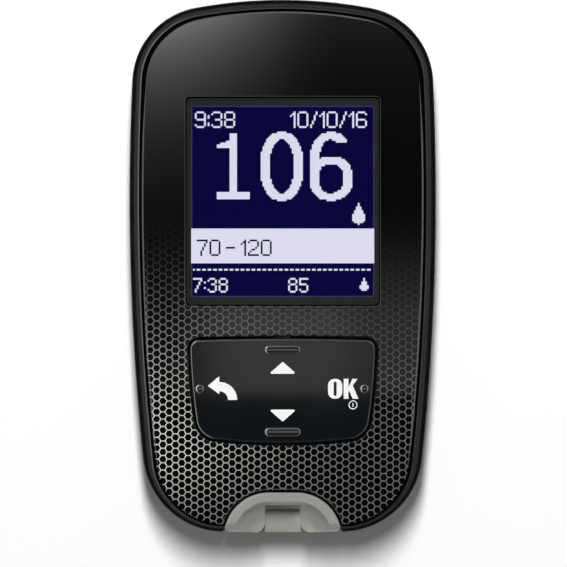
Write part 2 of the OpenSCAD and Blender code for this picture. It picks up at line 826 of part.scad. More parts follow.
// Rounded bar that the fingertip finds, lying along x.
module grip_bar(c, l, w, z0, z1) {
    slab(round_rect(l, w, 0.46 * w, c), z0, z1);
}

// Ear with a bore along x or y, hanging or standing on the pivot axis.
module ear_along_x(x0, z_far) {
    translate([x0, key_y, pivot_z]) rotate([0, 90, 0]) cylinder(r = ear_r, h = ear_t);
    block(x0, x0 + ear_t, key_y - ear_r, key_y + ear_r, min(z_far, pivot_z), max(z_far, pivot_z));
}

module ear_along_y(y0, z_far) {
    translate([0, y0, pivot_z]) rotate([-90, 0, 0]) cylinder(r = ear_r, h = ear_t);
    block(-ear_r, ear_r, y0, y0 + ear_t, min(z_far, pivot_z), max(z_far, pivot_z));
}

module key_panel() {
    centre = [0, key_y];
    inner = key(edge_bevel);
    far_y = key_l / 2 - ridge_inset;
    root_z = key_under + key_root;
    color([0.05, 0.05, 0.055]) difference() {
        union() {
            stack(concat([at_z(key(), key_under), on_crown(key(), edge_bevel), on_crown(inner)],
                         [for (k = [0.7, 0.4, 0.1]) on_crown(shrunk(inner, centre, k))]));
            for (side = [-1, 1]) {
                top = crown_at(0, key_y + side * far_y);
                grip_bar([0, key_y + side * far_y], ridge_l, ridge_w, root_z, top + ridge_h);
                rod(side * (key_w / 2 - dot_inset), key_y, dot_r, root_z,
                    crown_at(key_w / 2 - dot_inset, key_y) + dot_h);
                rod(0, key_y + side * switch_arm_y, post_r, post_end, root_z);
                rod(side * switch_arm_x, key_y, post_r, post_end, root_z);
            }
            ear_along_y(key_y + panel_ear_y, root_z);
            ear_along_y(key_y - panel_ear_y - ear_t, root_z);
        }
        translate([0, key_y, pivot_z]) rotate([90, 0, 0])
            cylinder(r = pivot_bore_r, h = 2 * (panel_ear_y + ear_t + over), center = true);
    }
}

// Cross with two pairs of pins, which lets the key panel rock both ways.
module key_gimbal() {
    core = 2 * pivot_pin_r + core_extra;
    color([0.85, 0.85, 0.82]) union() {
        block(-frame_ear_x + gimbal_gap, frame_ear_x - gimbal_gap, key_y - core / 2, key_y + core / 2,
              pivot_z - core / 2, pivot_z + core / 2);
        block(-core / 2, core / 2, key_y - panel_ear_y + gimbal_gap, key_y + panel_ear_y - gimbal_gap,
              pivot_z - core / 2, pivot_z + core / 2);
        translate([0, key_y, pivot_z]) rotate([0, 90, 0])
            cylinder(r = pivot_pin_r, h = 2 * (frame_ear_x + ear_t + gimbal_gap), center = true);
        translate([0, key_y, pivot_z]) rotate([90, 0, 0])
            cylinder(r = pivot_pin_r, h = 2 * (panel_ear_y + ear_t + gimbal_gap), center = true);
    }
}

// Cross bar under the shelf, with the two ears that carry the gimbal.
module key_frame() {
    foot = bar_foot_x + bar_foot_t;
    color([0.72, 0.72, 0.70]) difference() {
        union() {
            block(-foot, foot, key_y - bar_w / 2, key_y + bar_w / 2, bar_z, bar_z + bar_t);
            for (x = [-foot, bar_foot_x])
                block(x, x + bar_foot_t, key_y - bar_w / 2, key_y + bar_w / 2, bar_z, shelf_under);
            ear_along_x(frame_ear_x, bar_z);
            ear_along_x(-frame_ear_x - ear_t, bar_z);
        }
        translate([0, key_y, pivot_z]) rotate([0, 90, 0])
            cylinder(r = pivot_bore_r, h = 2 * (frame_ear_x + ear_t + over), center = true);
        for (side = [-1, 1])
            rod(side * switch_arm_x, key_y, post_r + post_gap, bar_z - over, bar_z + bar_t + over);
    }
}

module tact_switch(x, y) {
    case_top = board_top + switch_h;
    corner = 0.29 * switch_w;
    difference() {
        block(x - switch_w / 2, x + switch_w / 2, y - switch_w / 2, y + switch_w / 2, board_top, case_top);
        for (a = [45:90:315])
            translate([x, y, 0]) rotate(a) translate([switch_w * 0.64, 0, board_top - over])
                rotate(45) cube([corner, corner, 4 * switch_h], center = true);
    }
    rod(x, y, plunger_r, case_top, case_top + plunger_h);
}

module tact_switches() {
    color([0.65, 0.65, 0.66]) {
        for (side = [-1, 1]) {
            tact_switch(0, key_y + side * switch_arm_y);
            tact_switch(side * switch_arm_x, key_y);
        }
    }
}

// ---------------------------------------------------------------- board

module main_board() {
    color([0.05, 0.30, 0.16]) difference() {
        slab(body(wall + board_gap), board_z, board_top);
        block(-body_w / 2, body_w / 2, -end_y - over, connector_y0, board_z - over, board_top + over);
        block(recess_x - recess_back_t - board_gap, body_w, recess_y0 - wall - board_gap,
              recess_y1 + wall + board_gap, board_z - over, board_top + over);
        screw_holes(screw_r + screw_gap, board_z - over, board_top + over);
    }
}

module chip(x, y, w, l, h) {
    block(x - w / 2, x + w / 2, y - l / 2, y + l / 2, board_top, board_top + h);
}

// Processor, radio, crystal, choke, the flexible strip's socket and a row of small parts.
module board_components() {
    color([0.12, 0.12, 0.13]) {
        chip(0, flex_socket_y, flex_w + 2 * flex_gap, flex_socket_l, flex_socket_h);
        rod(choke_x, choke_y, choke_r, board_top, board_top + choke_h);
        chip(cpu_x, cpu_y, cpu_w, cpu_w, cpu_h);
        chip(radio_x, cpu_y, radio_w, radio_w, radio_h);
        chip(radio_x, cpu_y - (radio_w + crystal_l) / 2 - part_gap, crystal_w, crystal_l, crystal_h);
        for (i = [0:small_count - 1])
            chip((i - (small_count - 1) / 2) * small_pitch, cpu_y + cpu_w / 2 + 2 * part_gap,
                 small_w, small_l, small_l);
    }
}

module buzzer() {
    x = -body_w / 2 + buzzer_in;
    y = key_y + buzzer_up;
    top = board_top + buzzer_h;
    color([0.14, 0.14, 0.14]) difference() {
        rod(x, y, buzzer_r, board_top, top);
        rod(x, y, buzzer_hole_r, top - buzzer_hole_h, top + over);
    }
}

// Lamps that light the port, one on each side of the connector.
module port_leds() {
    x = connector_w / 2 + led_gap + led_w / 2;
    color([0.95, 0.93, 0.75])
        for (side = [-1, 1]) chip(side * x, connector_y0 + led_l, led_w, led_l, led_h);
}

module usb_connector() {
    c = [0, board_top + usb_h / 2];
    back = usb_y1 - usb_l;
    color([0.75, 0.75, 0.77]) {
        difference() {
            along_y(usb_shape(c, 0), back, usb_y1);
            along_y(usb_shape(c, usb_wall), back + usb_back_t, usb_y1 + over);
        }
        block(-usb_tongue_w / 2, usb_tongue_w / 2, back + usb_back_t / 2, usb_y1 - usb_tongue_in,
              board_top + usb_h * 0.52, board_top + usb_h * 0.76);
    }
}

// Socket outline with its two lower corners bevelled.
function usb_shape(c, inset) =
    let (x = usb_w / 2 - inset, z = usb_h / 2 - inset, bevel = usb_bevel - inset / 3)
    [for (p = [[x, z], [-x, z], [-x, bevel - z], [bevel - x, -z], [x - bevel, -z], [x, bevel - z]]) c + p];

// ---------------------------------------------------------------- strip port

// Hollow of the dish: narrow at its floor and as wide as the band leaves it at the top.
module port_dish() {
    depth = crown_z - dish_z;
    stack(concat([for (a = [0:15:75]) at_z(port_arch(port_band + dish_round * (1 - sin(a))),
                                           dish_z + depth * (1 - cos(a)))],
                 [at_z(port_arch(port_band), crown_z + over)]));
}

module strip_port() {
    ear_x = port_w / 2 + port_flange;
    ear_top = shelf_under - port_ear_gap;
    channel_y = port_back - slot_wall_t;
    side = strip_w / 2;
    color([0.56, 0.56, 0.54]) difference() {
        intersection() {
            union() {
                along_y(port_face(0, crown_z + over), -end_y, port_back);
                slab(port_arch(0), shelf_z, crown_z + over);
                // Ears inside the walls, which stop the port from being pulled out.
                block(-ear_x, ear_x, port_back - port_flange_t, port_back, port_z + port_corner_r, ear_top);
            }
            union() {
                slab(port_arch(0), port_z, crown_z + over);
                block(-ear_x, ear_x, port_back - port_flange_t, port_back, port_z, ear_top);
            }
            port_skin();
        }
        port_dish();
        // Channel, its flared mouth and the slot for the strip.
        block(-side, side, -end_y - over, channel_y, strip_z, crown_z);
        slab([[-side, -end_y + flare_l], [-side - flare, -end_y], [-side - flare, -end_y - over],
              [side + flare, -end_y - over], [side + flare, -end_y], [side, -end_y + flare_l]],
             strip_z, crown_z);
        block(-side, side, channel_y - over, port_back + over, strip_z, strip_z + strip_t);
    }
}

// Skin that the port shares with the shells, carried on over the rim to the crown.
module port_skin() {
    top = front(rim_w + port_blend);
    stack(concat(back_rings(0, 0, seam_z),
                 [for (t = [0:15:90]) at_z(front(rim_w * (1 - cos(t))), shoulder_z + shoulder_h * sin(t))],
                 [for (k = [1, 0.8, 0.4, 0.1]) on_crown(shrunk(top, [0, 0], k), -port_proud)]));
}

module strip_connector() {
    top = board_top + connector_h;
    side = strip_w / 2;
    chamber = side - chamber_inset;
    back = connector_y1 - connector_back_t;
    color([0.90, 0.88, 0.80]) difference() {
        block(-connector_w / 2, connector_w / 2, connector_y0, connector_y1, board_top, top);
        // Channel for the strip, with a bevelled mouth.
        block(-side, side, connector_y0 - over, back, strip_z, strip_z + strip_t);
        along_x([[connector_y0 - over, strip_z - connector_lead - over],
                 [connector_y0 + connector_lead, strip_z],
                 [connector_y0 + connector_lead, strip_z + strip_t],
                 [connector_y0 - over, strip_z + strip_t + connector_lead + over]],
                strip_w + 2 * connector_lead);
        // Chamber for the contact springs, open to the board, with a slot for their tails.
        block(-chamber, chamber, connector_y0 + connector_front_t, back,
              board_top - over, strip_z + strip_t / 2);
        block(-chamber, chamber, back - over, connector_y1 + over, board_top - over, board_top + contact_bend);
        // Notch that the ejector's tongue runs in.
        block(-notch_w / 2, notch_w / 2, tongue_y - tongue_t - eject_travel - tongue_gap, back,
              strip_z, top + over);
    }
}

// Row of leaf springs that touch the strip's pads from below.
module contact_springs() {
    low = board_top + contact_t / 2;
    front = connector_y0 + connector_front_t + contact_bend;
    path = [[connector_y1 + contact_tail, low], [front + contact_bend, low], [front, low + contact_bend],
            [front + contact_bend, low + 2.2 * contact_bend],
            [front + contact_reach, strip_z + contact_rise],
            [front + contact_reach + 2 * contact_bend, strip_z - 1.4 * contact_bend]];
    color([0.85, 0.68, 0.25])
        for (i = [0:contact_count - 1])
            translate([(i - (contact_count - 1) / 2) * contact_pitch, 0, 0])
                along_x(strip_outline(path, contact_t), contact_w);
}

// ---------------------------------------------------------------- ejector

module ejector_button() {
    n = 6;
    outer = [for (i = [0:n]) let (y = pad_y1 - pad_l + pad_l * i / n) [side_at(y) - pad_sink - grip_r / 2, y]];
    color([0.45, 0.45, 0.44]) union() {
        slab(concat([[recess_x + pad_gap, pad_y1], [recess_x + pad_gap, pad_y1 - pad_l]], outer),
             pad_z0, pad_z1);
        for (i = [0:grip_count - 1]) {
            y = pad_y1 - pad_l / 2 + (i - (grip_count - 1) / 2) * grip_pitch;
            rod(side_at(y) - pad_sink - grip_r, y, grip_r, pad_z0 + grip_inset, pad_z1 - grip_inset);
        }
        block(stem_x, recess_x + pad_gap + stem_root, arm_y - arm_w, arm_y, arm_z, arm_z + arm_t);
    }
}

module ejector_arm() {
    web_y = tongue_y - tongue_t / 2 - plate_l / 2;
    color([0.88, 0.88, 0.85]) union() {
        block(web_x, stem_x, arm_y - arm_w, arm_y, arm_z, arm_z + arm_t);
        block(web_x, web_x + web_w, web_y, arm_y, arm_z, arm_z + arm_t);
        block(web_x, web_x + web_w, web_y, web_y + plate_l, arm_z, plate_z + plate_t);
        block(-notch_w / 2 - plate_side, web_x + web_w, web_y, web_y + plate_l, plate_z, plate_z + plate_t);
        block(-notch_w / 2 + tongue_gap, notch_w / 2 - tongue_gap, tongue_y - tongue_t, tongue_y,
              strip_z + tongue_lift, plate_z + plate_t / 2);
        // Peg that holds the spring's end.
        translate([spring_x, spring_y1, spring_z]) rotate([90, 0, 0])
            cylinder(r = spring_r - peg_gap, h = peg_l);
    }
}

// Coil spring along y, as one tube swept round a helix.
module ejector_spring() {
    steps = 8;
    sides = 6;
    count = spring_turns * steps;
    step_l = (spring_l - 2 * spring_wire_r) / count;
    coil_r = spring_r - spring_wire_r;
    color([0.70, 0.70, 0.72]) stack([for (i = [0:count]) [for (j = [0:sides - 1])
        let (a = 360 * i / steps, b = 360 * j / sides, r = coil_r + spring_wire_r * cos(b))
            [spring_x + r * cos(a), spring_y1 - spring_wire_r - step_l * i + spring_wire_r * sin(b),
             spring_z + r * sin(a)]]]);
}

// ---------------------------------------------------------------- battery

module battery_door() {
    y0 = hinge_y;
    pin_h = door_w + 2 * door_pin_l;
    color([0.10, 0.10, 0.11]) union() {
        difference() {
            slab(round_rect(door_w, door_y1 - y0 + door_r * 2, door_r, [0, (door_y1 + y0) / 2 - door_r]),
                 door_z, door_top);
            block(-door_w, door_w, y0 - 4 * door_r, y0, -over, hinge_z + barrel_r + over);
            finger_hollow();
        }
        translate([0, y0, hinge_z]) rotate([0, 90, 0]) cylinder(r = barrel_r, h = door_w, center = true);
        translate([0, y0, hinge_z]) rotate([0, 90, 0]) cylinder(r = hinge_pin_r, h = pin_h, center = true);
        // Latch tongue and the ribs that press on the cells.
        block(-latch_w / 2, latch_w / 2, door_y1 - latch_t, door_y1 - latch_set, door_z, door_top + latch_h);
        for (side = [-1, 1], x = [-rib_x, rib_x])
            block(x - rib_t / 2, x + rib_t / 2, side * cell_pitch / 2 - rib_l / 2,
                  side * cell_pitch / 2 + rib_l / 2, door_top - rib_gap, cell_z - rib_gap);
    }
}

module coin_cells() {
    r = cell_d / 2;
    b = cell_bevel;
    color([0.78, 0.78, 0.80])
        for (side = [-1, 1]) translate([0, side * cell_pitch / 2, cell_z])
            rotate_extrude($fn = 64)
                polygon([[0, 0], [r - b, 0], [r, b], [r, cell_t - 2 * b], [r - b, cell_t - b],
                         [r - cell_rim, cell_t - b], [r - cell_rim, cell_t], [0, cell_t]]);
}

// Leaf contact over each cell, with a tail up to the board.
module battery_contacts() {
    top = bay_roof - leaf_t / 2;
    tail = -bay_r / 2;
    cell_top = cell_z + cell_t;
    path = [[tail, board_z], [tail, top + leaf_t], [tail + leaf_t, top], [tail + 0.58 * bay_r, top],
            [tail + 0.87 * bay_r, cell_top + leaf_t / 2], [tail + bay_r, cell_top + leaf_tip]];
    color([0.80, 0.78, 0.72])
        for (side = [-1, 1])
            translate([0, side * cell_pitch / 2, 0])
                along_y(strip_outline(path, leaf_t), -leaf_w / 2, leaf_w / 2);
}

module housing_screws() {
    color([0.70, 0.70, 0.72])
        for (s = screw_spots) translate([s[0], s[1], screw_seat]) {
            translate([0, 0, -screw_head_h]) difference() {
                cylinder(r = screw_head_r, h = screw_head_h);
                translate([0, 0, -over]) cylinder(r = screw_hex_r, h = over + screw_hex_r, $fn = 6);
            }
            cylinder(r = screw_r, h = screw_l);
        }
}

back_cover();
front_housing();
front_panel();
display_lens();
lcd_bezel();
lcd_glass();
light_guide();
lcd_holder();
lcd_flex();
key_panel();
key_gimbal();
key_frame();
tact_switches();
main_board();
board_components();
strip_port();
strip_connector();
contact_springs();
ejector_button();
ejector_arm();
ejector_spring();
usb_connector();
battery_door();
coin_cells();
battery_contacts();
housing_screws();
buzzer();
port_leds();
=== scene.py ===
"""Looks of a blood glucose meter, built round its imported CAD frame. Units: metres."""
import bpy
import bmesh
import math
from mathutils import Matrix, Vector

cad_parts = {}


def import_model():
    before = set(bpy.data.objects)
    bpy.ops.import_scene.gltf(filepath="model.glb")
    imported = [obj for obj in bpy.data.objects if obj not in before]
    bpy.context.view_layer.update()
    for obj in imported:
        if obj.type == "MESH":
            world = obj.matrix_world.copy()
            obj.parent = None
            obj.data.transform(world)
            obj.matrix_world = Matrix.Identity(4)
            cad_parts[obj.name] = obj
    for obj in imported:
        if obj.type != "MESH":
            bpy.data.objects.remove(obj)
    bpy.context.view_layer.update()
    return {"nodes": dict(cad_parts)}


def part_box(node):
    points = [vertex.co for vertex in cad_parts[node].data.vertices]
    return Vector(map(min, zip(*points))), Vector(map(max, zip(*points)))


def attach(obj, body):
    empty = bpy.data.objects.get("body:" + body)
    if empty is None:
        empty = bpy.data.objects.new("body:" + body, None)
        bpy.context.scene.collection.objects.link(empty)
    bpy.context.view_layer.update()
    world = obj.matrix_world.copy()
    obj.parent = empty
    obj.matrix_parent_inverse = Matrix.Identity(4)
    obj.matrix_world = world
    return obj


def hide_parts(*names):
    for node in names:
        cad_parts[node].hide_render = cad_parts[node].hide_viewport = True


MM = 0.001
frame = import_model()
nodes = frame["nodes"]


def low(node, axis):
    """Lower end of a CAD node's box along an axis, in millimetres, to a micrometre."""
    return round(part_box(node)[0][axis] / MM, 3)


def high(node, axis):
    """Upper end of the same box."""
    return round(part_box(node)[1][axis] / MM, 3)


def middle(node, axis):
    """Middle of the same box."""
    return round((low(node, axis) + high(node, axis)) / 2, 3)


def length(node, axis):
    """Size of the same box along the axis."""
    return round(high(node, axis) - low(node, axis), 3)


X, Y, Z = 0, 1, 2

# ---------------------------------------------------------------- sizes, in millimetres

# Body outline: half width, socket end, strip end and where it is widest, then the radii
# of the socket end, its corners, the sides, the corners at the strip end and the strip end
END_Y = high("front_housing", Y)
BODY = (23.0, END_Y, -END_Y, 10.4, 72.0, 11.6, 380.0, 12.2, 300.0)
WALL = 1.6
BACK_ROUND = 4.6
BACK_ROUND_H = 8.5

# Parting line: a fine step outside, and the back cover's lip inside
SEAM_Z = 9.8
REVEAL = 0.12
REVEAL_H = 0.2
LIP_WALL = 0.8
LIP_H = 1.0

# Rim, narrower at the strip end, and the shelf inside it that carries the panel
RIM_Z = high("front_housing", Z)
RIM_W = 1.5
RIM_EASE = 0.36
SHOULDER_H = 4.8
SHELF_Z = low("front_panel", Z)
SHELF_T = 1.2
SHELF_GAP = 0.25

# Crown of the front, the groove between rim and panel, and the bevel of the panel's edge
CROWN_Z = 19.7
CROWN_RX = 250.0
CROWN_RY = 800.0
GROOVE = 0.45
BEVEL = 0.25

# Display
LENS_W = length("display_lens", X)
LENS_L = length("display_lens", Y)
LENS_R = 0.45
LENS_GAP = 0.15
LENS_Z = low("display_lens", Z)
DISPLAY_Y = middle("display_lens", Y)
VIEW_W = 27.4
VIEW_L = 28.6
VIEW_GAP = 0.1
GLASS_TOP = high("lcd_glass", Z)
COLUMNS = 100
ROWS = 104
PITCH = VIEW_W / COLUMNS

# Key panel: its outline has the body's kind of arcs, about its own middle
KEY_Y = middle("key_panel", Y)
KEY_L = length("key_panel", Y)
KEY = (13.95, KEY_L / 2, -KEY_L / 2, 8.6, 400.0, 1.4, 90.0, 3.3, 90.0)
KEY_GAP = 0.35
KEY_UNDER = 17.32
GRIP_Y = 6.15
GRIP_W = 1.4

# Front housing: screw pillars, thumb recess, ejector slot, spring post and plug opening
BOARD_TOP = high("main_board", Z)
SCREWS = ((14.0, 31.0), (-14.0, 31.0), (12.5, -30.0), (-12.5, -30.0))
PILLAR_R = 2.2
PILOT_R = 0.85
PILOT_END = 0.6
RECESS_X = 20.94
RECESS_Y0 = -21.5
RECESS_Y1 = -8.2
RECESS_H = 2.4
RECESS_SLOPE = 3.0
ARM_W = 1.8
ARM_T = 1.2
TRAVEL = 3.5
SLIDE_GAP = 0.2
POST_W = 2.2
POST_T = 1.4
SOCKET_W = 8.3
SOCKET_H = 3.3

# Strip port: two arcs of radius PORT_R about (PORT_X, PORT_Y) and its mirror point
PORT_X = 2.05
PORT_Y = -40.6
PORT_R = 6.8
PORT_GAP = 0.1
NOTCH_GAP = 0.35
NOTCH_R = 0.65
PORT_BACK = -34.8
PORT_Z = low("strip_port", Z)
PORT_CORNER_R = 3.0
CHANNEL = 2.65
CHANNEL_FLOOR = 12.2
CHANNEL_LEDGE = 15.6
SLOT_H = 0.8

# Honeycomb print, and how far prints lie above the crown
HEX_SIDE = 0.628
PRINT_LIFT = 0.015

# Overlap of cutters past a face, and of parts that are joined
OVER = 1.0
HIDE = 0.05

# Stage: half width of the floor and of the card in the gloss, and the card's height
STAGE_HALF = 3000.0
CARD_Z = 400.0

# Camera and photo
IMAGE_PX = 567
PX_PER_MM = 6.66
SENSOR = 36
FOCAL_LENGTH = 400
CAMERA_TARGET = (0.12, -2.6, 14)
CAMERA_TILT = 0.3


# ---------------------------------------------------------------- outlines

def arc(cx, cy, r, a0, a1, n):
    """Points on an arc from angle a0 to angle a1, in degrees."""
    return [(cx + r * math.cos(math.radians(a0 + (a1 - a0) * i / n)),
             cy + r * math.sin(math.radians(a0 + (a1 - a0) * i / n))) for i in range(n + 1)]


def meet(a, ra, b, rb, pick):
    """The upper or lower of the two points at distance ra from a and rb from b."""
    dx, dy = b[0] - a[0], b[1] - a[1]
    d = math.hypot(dx, dy)
    ux, uy = dx / d, dy / d
    t = (ra * ra - rb * rb + d * d) / (2 * d)
    h = math.sqrt(ra * ra - t * t)
    both = [(a[0] + t * ux - s * h * uy, a[1] + t * uy + s * h * ux) for s in (1, -1)]
    return pick(both, key=lambda p: p[1])


def soft_outline(s, inset=0.0, steps=(8, 22, 30, 22, 8)):
    """Closed outline of tangent arcs, five on each side, moved in by inset."""
    half_w, top, bottom, widest, top_r, upper_r, side_r, lower_r, bottom_r = s
    a, b, c = (0, top - top_r), (half_w - side_r, widest), (0, bottom + bottom_r)
    t = meet(a, top_r - upper_r, b, side_r - upper_r, max)
    q = meet(c, bottom_r - lower_r, b, side_r - lower_r, min)

    def aim(p, to):
        return math.degrees(math.atan2(to[1] - p[1], to[0] - p[0]))

    half = arc(*a, top_r - inset, 90, aim(a, t), steps[0])[:-1]
    half += arc(*t, upper_r - inset, aim(a, t), aim(b, t), steps[1])[:-1]
    half += arc(*b, side_r - inset, aim(b, t), aim(b, q), steps[2])[:-1]
    half += arc(*q, lower_r - inset, aim(b, q), aim(c, q), steps[3])[:-1]
    half += arc(*c, bottom_r - inset, aim(c, q), -90, steps[4])
    return [(-x, y) for x, y in half] + half[-2:0:-1]


def body(inset=0.0):
    """The body's outline, moved in by inset."""
    return soft_outline(BODY, inset)


def front(inset):
    """The body's outline for the rim and the panel, moved in less at the strip end."""
    return soft_outline(BODY[:2] + (BODY[2] - RIM_EASE * inset,) + BODY[3:], inset)


def key_plan(inset=0.0):
    """The key panel's outline, moved in by inset."""
    return [(x, y + KEY_Y) for x, y in soft_outline(KEY, inset, (6, 8, 10, 12, 8))]


def round_rect(w, l, r, cx=0.0, cy=0.0, n=8):
    """Rectangle w by l with corners of radius r, about (cx, cy)."""
    x, y = w / 2 - r, l / 2 - r
    return (arc(cx + x, cy + y, r, 0, 90, n) + arc(cx - x, cy + y, r, 90, 180, n)
            + arc(cx - x, cy - y, r, 180, 270, n) + arc(cx + x, cy - y, r, 270, 360, n))


def port_arch(inset=0.0, n=24):
    """Arch of the strip port, open past the strip end."""
    r = PORT_R - inset
    return ([(PORT_X + r, PORT_Y - 6)] + arc(PORT_X, PORT_Y, r, 0, 90, n)
            + arc(-PORT_X, PORT_Y, r, 90, 180, n) + [(-PORT_X - r, PORT_Y - 6)])


def crown(x, y):
    """Height of the crown at a point."""
    return CROWN_Z - x * x / (2 * CROWN_RX) - y * y / (2 * CROWN_RY)


def crown_normal(x, y):
    """Direction in which the crown faces at a point."""
    return Vector((x / CROWN_RX, y / CROWN_RY, 1)).normalized()


def at_z(points, z):
    """The points set at height z."""
    return [(x, y, z) for x, y in points]


def on_crown(points, drop=0.0):
    """The points set on the crown, or drop below it."""
    return [(x, y, crown(x, y) - drop) for x, y in points]


def shrunk(points, k, cx=0.0, cy=0.0):
    """The points scaled by k towards (cx, cy)."""
    return [(cx + k * (x - cx), cy + k * (y - cy)) for x, y in points]


# ---------------------------------------------------------------- mesh making

def new_object(name, mesh):
    obj = bpy.data.objects.new(name, mesh)
    bpy.context.scene.collection.objects.link(obj)
    return obj


def from_faces(name, points, faces):
    """Mesh object from points in millimetres."""
    mesh = bpy.data.meshes.new(name)
    mesh.from_pydata([[v * MM for v in p] for p in points], [], faces)
    bm = bmesh.new()
    bm.from_mesh(mesh)
    bmesh.ops.recalc_face_normals(bm, faces=bm.faces)
    bm.to_mesh(mesh)
    bm.free()
    return new_object(name, mesh)


def stack(name, rings):
    """Closed solid through rings of equally many points, lowest ring first."""
    n = len(rings[0])
    points = [p for ring in rings for p in ring]
    faces = [(k * n + i, k * n + (i + 1) % n, (k + 1) * n + (i + 1) % n, (k + 1) * n + i)
             for k in range(len(rings) - 1) for i in range(n)]
    faces.append(tuple(range(n - 1, -1, -1)))
    faces.append(tuple(range(len(points) - n, len(points))))
    return from_faces(name, points, faces)


def slab(name, plan, z0, z1):
    """Upright solid over a plan."""
    return stack(name, [at_z(plan, z0), at_z(plan, z1)])


def block(name, x0, x1, y0, y1, z0, z1):
    """Box between the given ends."""
    return slab(name, [(x0, y0), (x1, y0), (x1, y1), (x0, y1)], z0, z1)


def along_y(name, profile, y0, y1):
    """Profile in x and z, drawn out from y0 to y1."""
    return stack(name, [[(x, y, z) for x, z in profile] for y in (y0, y1)])


def rods(spots, r, z0, z1):
    """One upright rod at each spot."""
    return [slab("t", arc(x, y, r, 0, 360, 32)[:-1], z0, z1) for x, y in spots]


def combine(obj, tools, operation):
    """Exact Boolean of obj with each tool in turn. The tools are used up."""
    for tool in tools:
        modifier = obj.modifiers.new("cut", "BOOLEAN")
        modifier.operation = operation
        modifier.solver = "EXACT"
        modifier.object = tool
        bake(obj)
        bpy.data.objects.remove(tool)
    return obj


def cut(obj, *tools):
    return combine(obj, tools, "DIFFERENCE")


def join(obj, *tools):
    return combine(obj, tools, "UNION")


def common(obj, *tools):
    return combine(obj, tools, "INTERSECT")


def bake(obj):
    """Applies the object's modifiers to its mesh."""
    depsgraph = bpy.context.evaluated_depsgraph_get()
    mesh = bpy.data.meshes.new_from_object(obj.evaluated_get(depsgraph))
    obj.modifiers.clear()
    obj.data = mesh


def soften(obj, width, angle):
    """Rounds the edges that are sharper than angle."""
    modifier = obj.modifiers.new("round", "BEVEL")
    modifier.width = width * MM
    modifier.segments = 2
    modifier.limit_method = "ANGLE"
    modifier.angle_limit = math.radians(angle)
    modifier.use_clamp_overlap = True
    bake(obj)


def smooth(obj, angle=30, crowned=False):
    """Smooth shading up to an angle. Faces on the crown get the crown's own normals."""
    mesh = obj.data
    mesh.polygons.foreach_set("use_smooth", [True] * len(mesh.polygons))
    mesh.set_sharp_from_angle(angle=math.radians(angle))
    if not crowned:
        return obj
    normals = [Vector(n.vector) for n in mesh.corner_normals]
    for face in mesh.polygons:
        x, y = face.center.x / MM, face.center.y / MM
        near = abs(face.center.z / MM - crown(x, y)) < 0.4
        if near and face.normal.dot(crown_normal(x, y)) > math.cos(math.radians(3)):
            for i in face.loop_indices:
                co = mesh.vertices[mesh.loops[i].vertex_index].co
                normals[i] = crown_normal(co.x / MM, co.y / MM)
    mesh.normals_split_custom_set(normals)
    return obj


def dress(obj, material):
    """Gives the mesh this one material."""
    obj.data.materials.clear()
    obj.data.materials.append(material)
    return obj


# ---------------------------------------------------------------- materials

